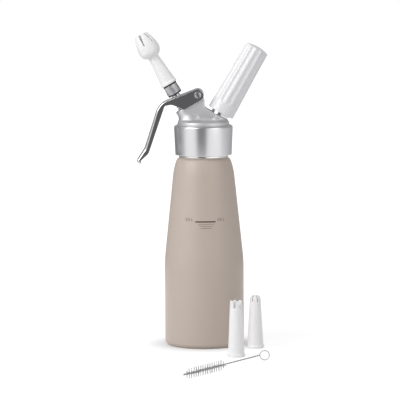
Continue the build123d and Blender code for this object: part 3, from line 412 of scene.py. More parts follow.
merge(bm, screw_thread(
    THREAD_FOOT_Z + 1.0, NECK_TOP_Z - 0.8, NECK_CORE_R - 0.1, NECK_R, NECK_LEAD, NECK_STARTS
))
for face in bm.faces:
    if face.calc_center_median().z > COAT_EDGE_Z * MM:
        face.material_index = 1
fit(bm, "bottle_shell", [powder_coat, turned_aluminium], "bottle", "bottle_coat", "bottle")


# ---- Fill line: a thick line over three thin ones, with the volume on both sides, printed on the
# powder coat by a pad that rolls round the cone. The ink is a few hundredths of a millimetre thick.
FILL_Z, FILL_TURN = 128.3, 2.4
INK_T = 0.05
# Each line's height from the thick one, its length and width, and how far its middle lies to the right.
INK_LINES = [(0.0, 20.6, 1.3, 0.0), (-2.4, 16.6, 0.3, 0.6), (-4.4, 13.6, 0.3, 0.6), (-6.4, 10.8, 0.36, 0.8)]
FILL_TEXT, FILL_TEXT_SIZE, FILL_TEXT_RISE, FILL_TEXT_AT = "0.5 L", 4.0, 1.9, (-16.9, 16.3)
# Pad printing ink: a thin film of dark brown, a little duller than the coat under it.
printing_ink = surface("brown_pad_printing_ink", "#4a3c33", 0.5, grain=0.4, depth=0.004, mottle=0.05)


def cone_radius(height):
    """The bottle's radius on its straight cone."""
    return BODY_R + (CONE_TOP_R - BODY_R) * (height - CONE_FOOT_Z) / (CONE_TOP_Z - CONE_FOOT_Z)


def wrap_on_cone(bm):
    """Rolls flat work, laid in x and z about the fill line's middle, round the front of the bottle."""
    for vert in bm.verts:
        height = FILL_Z + vert.co.z / MM
        radius = cone_radius(height) + INK_T + vert.co.y / MM
        turn = vert.co.x / MM / cone_radius(FILL_Z) + math.radians(FILL_TURN)
        vert.co = Vector((radius * math.sin(turn), -radius * math.cos(turn), height)) * MM


bm = bmesh.new()
for rise, length, width, shift in INK_LINES:
    made = bmesh.ops.create_grid(bm, x_segments=24, y_segments=1, size=0.5)
    bmesh.ops.scale(bm, verts=made["verts"], vec=(length * MM, width * MM, 1))
    bmesh.ops.rotate(bm, verts=made["verts"], cent=(0, 0, 0), matrix=Matrix.Rotation(math.pi / 2, 3, "X"))
    bmesh.ops.translate(bm, verts=made["verts"], vec=(shift * MM, 0, rise * MM))
for text_x in FILL_TEXT_AT:
    words = bpy.data.curves.new("volume", "FONT")
    words.body, words.size, words.align_x, words.align_y = FILL_TEXT, FILL_TEXT_SIZE * MM, "CENTER", "CENTER"
    words.resolution_u = 3
    written = bpy.data.objects.new("volume", words)
    flat = bpy.data.meshes.new_from_object(written)
    flat.transform(
        Matrix.Translation((text_x * MM, 0, FILL_TEXT_RISE * MM)) @ Matrix.Rotation(math.pi / 2, 4, "X")
    )
    bm.from_mesh(flat)
    bpy.data.objects.remove(written)
wrap_on_cone(bm)
for face in bm.faces:
    face.normal_update()
    if face.normal.y > 0:
        face.normal_flip()
fit(bm, "fill_mark", [printing_ink], "bottle", "bottle_coat")


# ---- Head, lower part: the collar that screws down over the neck. It is cast with the rest of the
# head, then turned bright on the lathe outside, and threaded and bored inside.
COLLAR_Z, COLLAR_TOP_Z, FLANGE_TOP_Z = 193.0, 223.3, 227.0
COLLAR_R, COLLAR_TOP_R, FLANGE_R, HEAD_BORE_R, HEAD_THREAD_R = 28.5, 29.8, 26.2, 25.2, 24.6
COLLAR_STEP_R, COLLAR_STEP_Z = 25.3, 222.7      # a low recess in its top, which the flange covers
SEAT_Z, CAVITY_Z, CAVITY_R = 214.6, 217.5, 20.95
AXES_Z, TILT = 205.4, 30.0
TIP_SIDE, GAS_SIDE = -1, 1
SEAT_A, CHAMBER_A, BUSH_A, SPRING_A, VALVE_BOSS_A = 13.5, 20.0, 30.3, 36.0, 40.4
POPPET_ROOM_R, CHAMBER_R, SPINDLE_R, BUSH_R, SPRING_POCKET_R = 7.8, 5.6, 4.2, 6.0, 6.1
SPINDLE_HOLE_R = 4.3
FACET_A, STUD_SHANK_R = 31.9, 6.0
# Fine turned aluminium: so close a cut looks satin. Its rings too are drawn coarser than they are.
satin_collar = surface(
    "fine_turned_aluminium", "#d6d6d8", 0.30, metallic=1.0, grain=0.8, depth=0.006, mottle=0.03,
    stretch=(0.05, 0.05, 1.4),
)


def leaning(side, distance):
    """The place of something built upright, on the tip's axis (side -1) or the charger's (side 1)."""
    tilt = math.radians(TILT) * side
    along = Vector((math.sin(tilt), 0, math.cos(tilt)))
    middle = Vector((0, 0, AXES_Z)) + along * distance
    return Matrix.Translation(middle * MM) @ Matrix.Rotation(tilt, 4, "Y")


def placed(bm, matrix):
    """Moves the mesh by a matrix, and hands it back."""
    bmesh.ops.transform(bm, matrix=matrix, verts=bm.verts)
    return bm


def rod(side, low, high, radius):
    """A round bar on a leaning axis, from one distance to another."""
    return placed(spun([(0, low), (radius, low), (radius, high), (0, high)], 64), leaning(side, 0))


def with_modifiers(bm, modifiers, cutters=()):
    """The mesh as modifiers leave it. Each is a kind and its settings, and the cutters are cut out first."""
    def stand_in(shape):
        """An object that holds a shape while the modifiers work."""
        mesh = bpy.data.meshes.new("shape")
        shape.to_mesh(mesh)
        shape.free()
        made = bpy.data.objects.new("shape", mesh)
        bpy.context.scene.collection.objects.link(made)
        return made

    work = stand_in(bm)
    tools = [stand_in(cutter) for cutter in cutters]
    for tool in tools:
        boolean = work.modifiers.new("cut", "BOOLEAN")
        boolean.operation, boolean.solver, boolean.object = "DIFFERENCE", "EXACT", tool
    for kind, settings in modifiers:
        modifier = work.modifiers.new(kind.lower(), kind)
        for name, value in settings.items():
            setattr(modifier, name, value)
    mesh = bpy.data.meshes.new_from_object(work.evaluated_get(bpy.context.evaluated_depsgraph_get()))
    for made in [work, *tools]:
        bpy.data.objects.remove(made)
    result = bmesh.new()
    result.from_mesh(mesh)
    bpy.data.meshes.remove(mesh)
    return result


def head_bores():
    """What is cut out of the casting for the valve, its spring and the gas inlet."""
    return [
        rod(TIP_SIDE, 0, SEAT_A, POPPET_ROOM_R),
        rod(TIP_SIDE, SEAT_A - 1, BUSH_A + 1, SPINDLE_HOLE_R),
        rod(TIP_SIDE, SEAT_A - 1, CHAMBER_A, CHAMBER_R),
        rod(TIP_SIDE, BUSH_A, VALVE_BOSS_A + 2, BUSH_R),
        rod(TIP_SIDE, SPRING_A, VALVE_BOSS_A + 2, SPRING_POCKET_R),
        rod(GAS_SIDE, 8, FACET_A + 2, STUD_SHANK_R),
    ]


collar_outline = rounded(
    [
        (0, COLLAR_STEP_Z), (COLLAR_STEP_R, COLLAR_STEP_Z), (COLLAR_STEP_R, COLLAR_TOP_Z),
        (COLLAR_TOP_R, COLLAR_TOP_Z), (COLLAR_R, COLLAR_Z), (HEAD_BORE_R, COLLAR_Z),
        (HEAD_BORE_R, SEAT_Z), (CAVITY_R, SEAT_Z), (CAVITY_R, CAVITY_Z), (0, CAVITY_Z),
    ],
    [0, 0, 0, 2.5, 0.6, 0.5, 0, 0.3, 1.0, 0], steps=6,
)
bm = with_modifiers(spun(collar_outline, steps=160), [], head_bores())
merge(bm, screw_thread(
    COLLAR_Z + 1.5, SEAT_Z - 2.5, HEAD_BORE_R + 0.1, HEAD_THREAD_R, NECK_LEAD, NECK_STARTS, phase=1.4
))
fit(bm, "head_collar", [satin_collar], "head", "head_casting", "head")


# ---- Head, upper part: the flange, the web that carries the lever's pin, and the bosses for the
# valve and the charger. It is cast aluminium with soft fillets, blasted to an even matt grey.
VALVE_BOSS_R, VALVE_NECK_R, VALVE_FLARE_R = 8.9, 9.4, 12.2
VALVE_FOOT_A, VALVE_FLARE_A, VALVE_NECK_A, VALVE_ROUND_A = 16.0, 26.0, 33.0, 36.0
GAS_BOSS_R, GAS_FOOT_R, GAS_FOOT_A = 10.4, 13.0, 16.0
GAS_FOOT_FLAT, GAS_TOP_FLAT = 0.72, 0.9      # its depth from front to back, as a share of its width
WEB_HALF_WIDTH, EYE_R, WEB_RIGHT_X, WEB_FOOT_Z, WEB_INSET = 8.6, 4.4, 1.4, 224.0, 1.2
PIVOT_U, PIVOT_A, PIN_R = 19.5, 44.8, 2.0
CAST_GRAIN, CAST_FILLET_R, CAST_CUT_DEPTH = 0.6, 2.2, 1.5
# Blasted casting: fine pits scatter the light, so the metal is a soft grey with no clear reflections.
blasted_casting = surface(
    "blasted_aluminium_casting", "#d2d2d4", 0.50, metallic=0.8, grain=0.8, depth=0.006, mottle=0.04
)


def along_axis(side, radius, distance):
    """x and z of a point of a leaning axis's front view, at a radius to its right."""
    point = leaning(side, 0) @ Vector((radius * MM, 0, distance * MM))
    return Vector((point.x, point.z)) / MM


def slab(outline, half_width):
    """A plate with an outline of x and z, as thick to the front as to the back of the middle."""
    bm = bmesh.new()
    verts = [bm.verts.new(Vector((x, -half_width, z)) * MM) for x, z in outline]
    base = bm.faces.new(verts)
    made = bmesh.ops.extrude_face_region(bm, geom=[base])
    moved = [item for item in made["geom"] if isinstance(item, bmesh.types.BMVert)]
    bmesh.ops.translate(bm, verts=moved, vec=(0, 2 * half_width * MM, 0))
    bmesh.ops.recalc_face_normals(bm, faces=bm.faces)
    return bm


def round_bar(centre, radius, half_width):
    """A round bar from front to back through a point of the front view."""
    turn_forward = Matrix.Rotation(math.pi / 2, 4, "X")
    bm = spun([(0, -half_width), (radius, -half_width), (radius, half_width), (0, half_width)], 64)
    return placed(bm, Matrix.Translation(Vector((centre[0], 0, centre[1])) * MM) @ turn_forward)


PIVOT = along_axis(TIP_SIDE, PIVOT_U, PIVOT_A)
facet_low = along_axis(GAS_SIDE, GAS_BOSS_R, FACET_A)
facet_high_z = AXES_Z + (FACET_A - WEB_RIGHT_X * math.sin(math.radians(TILT))) / math.cos(math.radians(TILT))
bm = spun(rounded(
    [(0, CAVITY_Z + 1), (FLANGE_R, CAVITY_Z + 1), (FLANGE_R, FLANGE_TOP_Z), (0, FLANGE_TOP_Z)],
    [0, 0, 1.2, 0],
), steps=128)
merge(bm, placed(spun([
    (0, VALVE_FOOT_A), (VALVE_FLARE_R, VALVE_FOOT_A), (VALVE_FLARE_R, VALVE_FLARE_A),
    (VALVE_NECK_R, VALVE_NECK_A), (VALVE_BOSS_R, VALVE_ROUND_A), (VALVE_BOSS_R, VALVE_BOSS_A),
    (0, VALVE_BOSS_A),
], steps=96), leaning(TIP_SIDE, 0)))
gas_boss = spun([(0, GAS_FOOT_A), (GAS_FOOT_R, GAS_FOOT_A), (GAS_BOSS_R, FACET_A), (0, FACET_A)], steps=96)
for vert in gas_boss.verts:
    vert.co.y *= GAS_FOOT_FLAT if vert.co.z < (GAS_FOOT_A + 1) * MM else GAS_TOP_FLAT
merge(bm, placed(gas_boss, leaning(GAS_SIDE, 0)))
merge(bm, slab([
    (-(WEB_FOOT_Z - AXES_Z) * math.tan(math.radians(TILT)), WEB_FOOT_Z),
    along_axis(TIP_SIDE, 0, VALVE_BOSS_A), along_axis(TIP_SIDE, VALVE_BOSS_R, VALVE_BOSS_A),
    (PIVOT.x - EYE_R, PIVOT.y), (PIVOT.x + EYE_R, PIVOT.y),
    (WEB_RIGHT_X, PIVOT.y - EYE_R - WEB_INSET), (WEB_RIGHT_X, facet_high_z),
    facet_low, (facet_low.x - WEB_INSET, WEB_FOOT_Z),
], WEB_HALF_WIDTH))
merge(bm, round_bar(PIVOT, EYE_R, WEB_HALF_WIDTH))
voxels = ("REMESH", {"mode": "VOXEL", "voxel_size": CAST_GRAIN * MM, "adaptivity": 0.0})
bm = with_modifiers(bm, [
    voxels, ("DISPLACE", {"strength": CAST_FILLET_R * MM, "mid_level": 0.0}),
    voxels, ("DISPLACE", {"strength": -CAST_FILLET_R * MM, "mid_level": 0.0}),
    voxels, ("SMOOTH", {"factor": 0.5, "iterations": 8}),
])
bmesh.ops.bisect_plane(
    bm, geom=bm.verts[:] + bm.edges[:] + bm.faces[:],
    plane_co=(0, 0, (COLLAR_TOP_Z - CAST_CUT_DEPTH) * MM), plane_no=(0, 0, 1), clear_inner=True,
)
bmesh.ops.holes_fill(bm, edges=[edge for edge in bm.edges if edge.is_boundary])
bmesh.ops.recalc_face_normals(bm, faces=bm.faces)
bm = with_modifiers(bm, [], head_bores() + [round_bar(PIVOT, PIN_R, WEB_HALF_WIDTH + 2)])
fit(bm, "head_tower", [blasted_casting], "head", "head_casting", "head")


# ---- Lever's pin: a headed pin, turned from drawn steel, through the web's eye. A spring clip in its
# groove holds it at the back.
SHARP_CORNER = 50      # degrees between two faces, from which their edge is broken
# Drawn spring steel: pulled through a die, so it is smooth, and a little darker than polished sheet.
spring_steel = surface(
    "drawn_spring_steel", "#a9a9ad", 0.30, metallic=1.0, grain=0.4, depth=0.006, mottle=0.08
)


def dressed(node, edge=0.2, flat=2.0):
    """A mesh of the node's own shape, with its sharp edges broken by a small radius."""
    bm = bmesh.new()
    bm.from_mesh(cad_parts[node].data)
    bmesh.ops.remove_doubles(bm, verts=bm.verts, dist=0.002 * MM)
    bmesh.ops.dissolve_limit(
        bm, angle_limit=math.radians(flat), verts=bm.verts, edges=bm.edges, use_dissolve_boundaries=False,
        delimit={"NORMAL"},
    )
    corners = [
        e for e in bm.edges
        if len(e.link_faces) == 2 and e.calc_face_angle(0) > math.radians(SHARP_CORNER)
    ]
    if edge:
        bmesh.ops.bevel(
            bm, geom=corners, offset=edge * MM, offset_type="OFFSET", segments=2, profile=0.5,
            affect="EDGES", clamp_overlap=True, material=-1,
        )
    return bm


fit(dressed("lever_pin", edge=0.15), "hinge_pin", [spring_steel], "head", "turned_steel", "lever_pin")
fit(dressed("pin_clip", edge=0.1), "hinge_clip", [spring_steel], "head", "spring_steel", "pin_clip")


# ---- Lever: a channel pressed from one stainless sheet, open towards the bottle, whose back is folded
# with round corners and runs on over its pivot end. It is polished, so it mirrors the room in bands.
SHEET, LEVER_HALF_WIDTH = 1.5, 10.7
PIVOT_RISE, PIVOT_END_R = 6.1, 6.0
PLATE_WAY, HANDLE_WAY, KICK_WAY, END_WAY, CHEEK_WAY = 201.3, 252.1, 237.0, 312.0, 209.3
PLATE_LENGTH, HANDLE_LENGTH, KICK_LENGTH, CHEEK_LENGTH = 40.2, 47.4, 14.8, 19.0
HANDLE_DEPTH, KICK_DEPTH, KINK_LAG = 6.6, 5.6, 2.5
BEND_R, KINK_R, LEVER_END_R, INNER_BEND_R, CHEEK_HOLLOW_R, CHEEK_CORNER_R = 19.5, 12.0, 2.6, 2.5, 8.0, 2.0
CHEEK_RISE = (-13.0, 5.0)
WRAP_FROM, WRAP_STEPS = 5, 12      # the back runs over the pivot end down to this angle from +X
PLATE_FOLD_R, HANDLE_FOLD_R, TOE_FOLD_R, FOLD_STEPS = 1.4, 3.0, 2.3, 6
HANDLE_FOLD_LEAD, HANDLE_FOLD_RUN, TOE_FOLD_RUN = 3.0, 10.0, 9.25      # where the folds widen, and how soon
FIRST_FOLD_SHARE, FOLD_GROWTH = 0.2, 6      # they start tighter at the pivot end, over its first points
COLLET_TOP_A, PLATE_TOP_A = 51.3, 54.93
SPINDLE_SLOT_R, SPINDLE_SLOT_HALF_RUN, SPINDLE_SLOT_SHIFT, SPINDLE_SLOT_REACH = 4.7, 1.1, 0.5, 3
DIMPLE_Y, DIMPLE_R, DIMPLE_FOOT, DIMPLE_TOP, DIMPLE_ROUND = 6.3, 1.5, 0.15, 2.8, 0.5
PIN_PLAY = 0.06
# Polished stainless sheet: rolled and buffed nearly to a mirror.
polished_sheet = surface(
    "polished_stainless_sheet", "#c8c8cb", 0.11, metallic=1.0, grain=1.4, depth=0.002, mottle=0.03
)


def step(start, way, length):
    """The point a length away, in a direction in degrees from +X towards +Z."""
    turn = math.radians(way)
    return Vector(start) + Vector((math.cos(turn), math.sin(turn))) * length


plate_start = step(PIVOT, PLATE_WAY - 90, PIVOT_RISE)
bend = step(plate_start, PLATE_WAY, PLATE_LENGTH)
kink = step(bend, HANDLE_WAY, HANDLE_LENGTH)
kick_end = step(kink, KICK_WAY, KICK_LENGTH)
lever_toe = step(kick_end, END_WAY, KICK_DEPTH)
inner_bend = step(bend, HANDLE_WAY + 90, HANDLE_DEPTH)
inner_kink = step(step(kink, HANDLE_WAY + 90, KICK_DEPTH), HANDLE_WAY, KINK_LAG)
cheek_start = step(PIVOT, CHEEK_WAY + 90, PIVOT_END_R)
cheek_corner = step(cheek_start, CHEEK_WAY, CHEEK_LENGTH)
back = [
    step(PIVOT, WRAP_FROM + (PLATE_WAY - 90 - WRAP_FROM) * number / WRAP_STEPS, PIVOT_RISE)
    for number in range(WRAP_STEPS)
]
back += rounded(
    [plate_start, bend, kink, kick_end, lever_toe, inner_kink],
    [0, BEND_R, KINK_R, LEVER_END_R, LEVER_END_R, 0], steps=10,
)[:-4]
cheek_edge = rounded(
    [back[-1], inner_kink, inner_bend, cheek_corner + Vector(CHEEK_RISE), cheek_corner, cheek_start],
    [0, KINK_R, INNER_BEND_R, CHEEK_HOLLOW_R, CHEEK_CORNER_R, 0], steps=8,
)[1:]
cheek_edge += [
    step(PIVOT, CHEEK_WAY + 90 + (360 + WRAP_FROM - CHEEK_WAY - 90) * number / 10, PIVOT_END_R)
    for number in range(1, 10)
]
ways = [(ahead - behind).normalized() for behind, ahead in zip([back[0], *back], [*back[1:], back[-1]])]
into = [Vector((-way.y, way.x)) for way in ways]
fold_r = []
for number, point in enumerate(back):
    onto_handle = min(1.0, max(0.0, (bend.x + HANDLE_FOLD_LEAD - point.x) / HANDLE_FOLD_RUN))
    onto_toe = min(1.0, max(0.0, (point - kink).dot(kick_end - kink) / (KICK_LENGTH * TOE_FOLD_RUN)))
    fold = PLATE_FOLD_R + (HANDLE_FOLD_R - PLATE_FOLD_R) * onto_handle
    fold_r.append((fold + (TOE_FOLD_R - fold) * onto_toe) * min(1.0, FIRST_FOLD_SHARE + number / FOLD_GROWTH))
bm = bmesh.new()
fold_start = [point + side * radius for point, side, radius in zip(back, into, fold_r)]
cheek = [
    bm.verts.new(Vector((point.x, -LEVER_HALF_WIDTH, point.y)) * MM) for point in fold_start + cheek_edge
]
bm.faces.new(cheek)
row = cheek[:len(back)]
for turned_by in [90 * number / FOLD_STEPS for number in range(1, FOLD_STEPS + 1)] + [None]:
    chain = [bm.edges.get(pair) for pair in zip(row, row[1:])]
    made = bmesh.ops.extrude_edge_only(bm, edges=chain)
    moved = {vert for vert in made["geom"] if isinstance(vert, bmesh.types.BMVert)}
    row = [
        next(edge.other_vert(vert) for edge in vert.link_edges if edge.other_vert(vert) in moved)
        for vert in row
    ]
    for vert, point, side, radius in zip(row, back, into, fold_r):
        if turned_by is None:
            vert.co.y = 0
            continue
        lean = math.radians(turned_by)
        place = point + side * radius * (1 - math.sin(lean))
        vert.co = Vector((place.x, -LEVER_HALF_WIDTH + radius * (1 - math.cos(lean)), place.y)) * MM
bmesh.ops.mirror(bm, geom=bm.verts[:] + bm.edges[:] + bm.faces[:], axis="Y", merge_dist=0.002 * MM)
bmesh.ops.dissolve_degenerate(bm, edges=bm.edges, dist=0.02 * MM)
bmesh.ops.recalc_face_normals(bm, faces=bm.faces)
if sum(face.normal.y * face.calc_center_median().y for face in bm.faces) < 0:
    bmesh.ops.reverse_faces(bm, faces=bm.faces)
spindle_slot = bmesh.new()
run, deep = SPINDLE_SLOT_HALF_RUN, SPINDLE_SLOT_REACH
for end in (-1, 1):
    merge(spindle_slot, placed(
        spun([(0, -deep), (SPINDLE_SLOT_R, -deep), (SPINDLE_SLOT_R, deep), (0, deep)], 48),
        Matrix.Translation((end * run * MM, 0, 0)),
    ))
merge(spindle_slot, slab([(-run, -deep), (run, -deep), (run, deep), (-run, deep)], SPINDLE_SLOT_R))
spindle_slot = with_modifiers(spindle_slot, [("REMESH", {"mode": "VOXEL", "voxel_size": 0.25 * MM})])
placed(spindle_slot, leaning(TIP_SIDE, PLATE_TOP_A) @ Matrix.Translation((SPINDLE_SLOT_SHIFT * MM, 0, 0)))
bm = with_modifiers(bm, [("SOLIDIFY", {
    "thickness": SHEET * MM, "offset": -1.0, "use_even_offset": True, "use_quality_normals": True,
})])
bm = with_modifiers(bm, [], [spindle_slot, round_bar(PIVOT, PIN_R + PIN_PLAY, LEVER_HALF_WIDTH + 2)])
for side in (-1, 1):
    merge(bm, placed(
        spun(rounded(
            [(0, DIMPLE_FOOT), (DIMPLE_R, DIMPLE_FOOT), (DIMPLE_R, DIMPLE_TOP), (0, DIMPLE_TOP)],
            [0, DIMPLE_ROUND, 0, 0],
        ), 24), leaning(TIP_SIDE, COLLET_TOP_A) @ Matrix.Translation((0, side * DIMPLE_Y * MM, 0))
    ))
fit(bm, "pressed_lever", [polished_sheet], "lever", "lever_steel", "lever")


# ---- Valve: a stainless spindle tube with the poppet and its rubber below, a round collet that the
# lever presses, and a bush of acetal that guides the tube. All but the rubber is turned.
# Turned stainless steel: bright, with cuts too fine to be seen as rings.
bright_steel = surface(
    "turned_stainless_steel", "#c9c9cb", 0.24, metallic=1.0, grain=0.5, depth=0.004, mottle=0.05
)
# Nitrile rubber: moulded, nearly black, and matt.
black_rubber = surface("black_nitrile_rubber", "#26262a", 0.55, grain=0.5, depth=0.01, mottle=0.08)
# Acetal: an opaque, slightly warm white with a soft shine.
white_acetal = surface("white_acetal", "#ece9e2", 0.35, grain=0.5, depth=0.004, mottle=0.03)
fit(dressed("valve_spindle"), "spindle_tube", [bright_steel], "valve", "turned_steel", "valve_spindle")
fit(
    dressed("spindle_collet", edge=0.4), "lever_collet", [bright_steel], "valve", "turned_steel",
    "spindle_collet",
)
fit(dressed("valve_poppet"), "poppet", [bright_steel], "valve", "turned_steel", "valve_poppet")
fit(dressed("valve_seal", edge=0.15), "poppet_seal", [black_rubber], "valve", "black_rubber", "valve_seal")
fit(dressed("spindle_bush"), "guide_bush", [white_acetal], "head", "acetal", "spindle_bush")


# ---- Valve spring: drawn steel wire, wound cold into five even turns. It stands round the spindle in
# the casting's pocket, and closes the valve.
SPRING_LENGTH, SPRING_MEAN_R, SPRING_WIRE_R, SPRING_TURNS, COIL_STEPS = 11.5, 5.3, 0.5, 5, 40
bm = bmesh.new()
bmesh.ops.create_circle(bm, cap_ends=True, radius=SPRING_WIRE_R * MM, segments=10)
wire_foot = Matrix.Translation((SPRING_MEAN_R * MM, 0, SPRING_WIRE_R * MM))
placed(bm, wire_foot @ Matrix.Rotation(math.pi / 2, 4, "X"))
wound = bmesh.ops.spin(
    bm, geom=bm.verts[:] + bm.edges[:], axis=(0, 0, 1), cent=(0, 0, 0), steps=SPRING_TURNS * COIL_STEPS,
    angle=math.tau * SPRING_TURNS,
    dvec=(0, 0, (SPRING_LENGTH - 2 * SPRING_WIRE_R) * MM / (SPRING_TURNS * COIL_STEPS)),
)
bmesh.ops.contextual_create(bm, geom=[e for e in wound["geom_last"] if isinstance(e, bmesh.types.BMEdge)])
bmesh.ops.recalc_face_normals(bm, faces=bm.faces)
placed(bm, leaning(TIP_SIDE, SPRING_A))
coil = fit(bm, "closing_spring", [spring_steel], "head", "spring_steel", "valve_spring")
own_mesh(coil)


# ---- Adaptor: turned from bar, with straight knurling for the fingers, and a screwed spigot for the
#  tip. One black rubber ring lies between it and the tip. Another black ring under its foot is painted shade:
#  it draws the dark shadow line under the adaptor.
ADAPTOR_A, ADAPTOR_FOOT_R, ADAPTOR_R, TIP_SEAL_A, TIP_A = 57.2, 7.5, 7.15, 67.0, 68.3
# The ring under the foot is painted shade: a black ring that draws the shadow line under the adaptor.
SHADE_RING_A, SHADE_RING_R = 56.3, 7.3
SPIGOT_R, SPIGOT_TOP_A, SPINDLE_BORE_R, TIP_SEAL_R, SPINDLE_TOP_A = 5.6, 77.6, 2.2, 7.35, 66.0
SPIGOT_THREAD_T, SPIGOT_LEAD = 0.2, 2.0
KNURLS, KNURL_DEPTH, KNURL_MARGIN, KNURL_RUN_OUT = 54, 0.16, 1.4, 0.5
KNURL_FOOT_A, KNURL_TOP_A = ADAPTOR_A + KNURL_MARGIN, TIP_SEAL_A - KNURL_MARGIN
# Nickel plate: a satin grey over the turned bar, which the knurl's ridges break into fine lines.
knurled_steel = surface(
    "knurled_nickel_plate", "#b4b4b6", 0.36, metallic=1.0, grain=1.2, depth=0.002, mottle=0.04
)
bm = spun(rounded(
    [
        (SPINDLE_R, ADAPTOR_A), (ADAPTOR_FOOT_R, ADAPTOR_A), (ADAPTOR_FOOT_R, KNURL_FOOT_A),
        (ADAPTOR_FOOT_R - 0.02, KNURL_FOOT_A + KNURL_RUN_OUT), (ADAPTOR_R, KNURL_TOP_A),
        (ADAPTOR_R, KNURL_TOP_A + KNURL_RUN_OUT), (ADAPTOR_R, TIP_SEAL_A), (SPIGOT_R, TIP_SEAL_A),
        (SPIGOT_R, SPIGOT_TOP_A), (SPINDLE_BORE_R, SPIGOT_TOP_A), (SPINDLE_BORE_R, SPINDLE_TOP_A),
        (SPINDLE_R, SPINDLE_TOP_A),
    ],
    [0, 1.0, 0, 0, 0, 0, 0.4, 0, 0.5, 0.3, 0, 0], steps=3,
), steps=KNURLS * 4, closed=True)
for vert in bm.verts:
    radius = math.hypot(vert.co.x, vert.co.y) / MM
    height = vert.co.z / MM
    if radius > ADAPTOR_R - 0.05 and KNURL_FOOT_A + 0.2 < height < KNURL_TOP_A + 0.2:
        turn = math.atan2(vert.co.y, vert.co.x)
        share = 1 - KNURL_DEPTH / radius * (0.5 + 0.5 * math.cos(KNURLS * turn))
        vert.co.x *= share
        vert.co.y *= share
merge(bm, screw_thread(
    TIP_SEAL_A + 1.2, SPIGOT_TOP_A - 0.6, SPIGOT_R - 0.05, SPIGOT_R + SPIGOT_THREAD_T, SPIGOT_LEAD, 1,
    width=1.2, steps=32,
))
placed(bm, leaning(TIP_SIDE, 0))
fit(bm, "knurled_adaptor", [knurled_steel], "valve", "knurled_steel", "tip_adaptor", sharp=40)
bm = spun(rounded(
    [(SPIGOT_R + 0.1, TIP_SEAL_A), (TIP_SEAL_R, TIP_SEAL_A), (TIP_SEAL_R, TIP_A), (SPIGOT_R + 0.1, TIP_A)],
    [0, 0.4, 0.4, 0], steps=4,
), closed=True)
placed(bm, leaning(TIP_SIDE, 0))
fit(bm, "adaptor_ring", [black_rubber], "tip_ring", "black_rubber", "tip_seal")
# Painted shade: a black ring under the adaptor's foot, which draws the dark shadow line under the adaptor.
bm = spun(rounded(
    [
        (SPINDLE_R, SHADE_RING_A), (SHADE_RING_R, SHADE_RING_A), (SHADE_RING_R, ADAPTOR_A),
        (SPINDLE_R, ADAPTOR_A),
    ], [0, 0.4, 0.2, 0], steps=4,
), closed=True)
placed(bm, leaning(TIP_SIDE, 0))
fit(bm, "adaptor_foot_shade_ring", [black_rubber], "valve", "knurled_steel")


# ---- Decorating tip, tulip form: moulded polypropylene, a cone that opens into a bulb with six
# V-shaped slots, so that its petals part the cream.
TIP_FOOT_R, TIP_FOOT_T, TIP_CONE_R, TIP_CONE_Z = 8.7, 2.4, 8.1, 2.7
TIP_WALL, SOCKET_R, SOCKET_DEPTH, TIP_BORE_R = 1.6, 5.9, 10.3, 4.0
TULIP_LENGTH, TULIP_NECK_R, TULIP_NECK_AT = 57.3, 5.1, 31.8
TULIP_BULB_R, TULIP_BULB_AT, TULIP_MOUTH_R = 10.9, 39.6, 6.4
MOULD_GRAIN, NOTCH_GRAIN = 0.36, 0.2
# Polypropylene: moulded, milky and a little waxy, and light goes some way into it.
white_plastic = surface(
    "white_polypropylene", "#f6f6f6", 0.36, grain=2.0, depth=0.003, mottle=0.01,
    **{"Subsurface Weight": 0.12, "Subsurface Radius": (0.004, 0.004, 0.004), "Subsurface Scale": 0.5},
)


def notches(count, turn, length, depth, foot_width, top_width, reach):
    """Wedges for the notches down from a tip's end; each reaches from the axis outwards."""
    bm = bmesh.new()
    for number in range(count):
        wedge = bmesh.new()
        outline = [
            (-foot_width / 2, length - depth), (foot_width / 2, length - depth),
            (top_width / 2, length + 1), (-top_width / 2, length + 1),
        ]
        verts = [wedge.verts.new(Vector((x, 0, z)) * MM) for x, z in outline]
        made = bmesh.ops.extrude_face_region(wedge, geom=[wedge.faces.new(verts)])
        moved = [item for item in made["geom"] if isinstance(item, bmesh.types.BMVert)]
        bmesh.ops.translate(wedge, verts=moved, vec=(0, -reach * MM, 0))
        bmesh.ops.recalc_face_normals(wedge, faces=wedge.faces)
        placed(wedge, Matrix.Rotation(math.radians(turn + 360 * number / count), 4, "Z"))
        merge(bm, wedge)
    return with_modifiers(bm, [("REMESH", {
        "mode": "VOXEL", "voxel_size": NOTCH_GRAIN * MM, "adaptivity": 0.0,
    })])


def moulded(bm):
    """Rounds all edges a little, as a mould leaves them."""
    return with_modifiers(bm, [
        ("REMESH", {"mode": "VOXEL", "voxel_size": MOULD_GRAIN * MM, "adaptivity": 0.0}),
        ("SMOOTH", {"factor": 0.5, "iterations": 3}),
    ])


bulb_out = swing((TULIP_BULB_R, TULIP_BULB_AT), (TULIP_MOUTH_R, TULIP_LENGTH), (0, 1), 12)
bulb_foot = swing((TULIP_BULB_R, TULIP_BULB_AT), (TULIP_NECK_R, TULIP_NECK_AT), (0, -1), 10)
bulb_in = [Vector((p.x - TIP_WALL, p.y)) for p in reversed(bulb_out)]
bulb_floor = [Vector((p.x - TIP_WALL, p.y + TIP_WALL / 2)) for p in bulb_foot[1:]]
tulip_outline = (
    [(SOCKET_R, 0), (TIP_FOOT_R, 0), (TIP_FOOT_R, TIP_FOOT_T), (TIP_CONE_R, TIP_CONE_Z)]
    + [tuple(p) for p in reversed(bulb_foot)] + [tuple(p) for p in bulb_out[1:]]
    + [tuple(p) for p in bulb_in] + [tuple(p) for p in bulb_floor]
    + [(TIP_BORE_R, SOCKET_DEPTH), (SOCKET_R, SOCKET_DEPTH)]
)
petal_slots = notches(6, -12, TULIP_LENGTH, depth=12.2, foot_width=0.9, top_width=3.1, reach=13)
bm = moulded(with_modifiers(spun(tulip_outline, 96, closed=True), [], [petal_slots]))
placed(bm, leaning(TIP_SIDE, TIP_A))
fit(bm, "tulip_tip_moulding", [white_plastic], "tip", "tip_plastic", "tulip_tip", sharp=60)


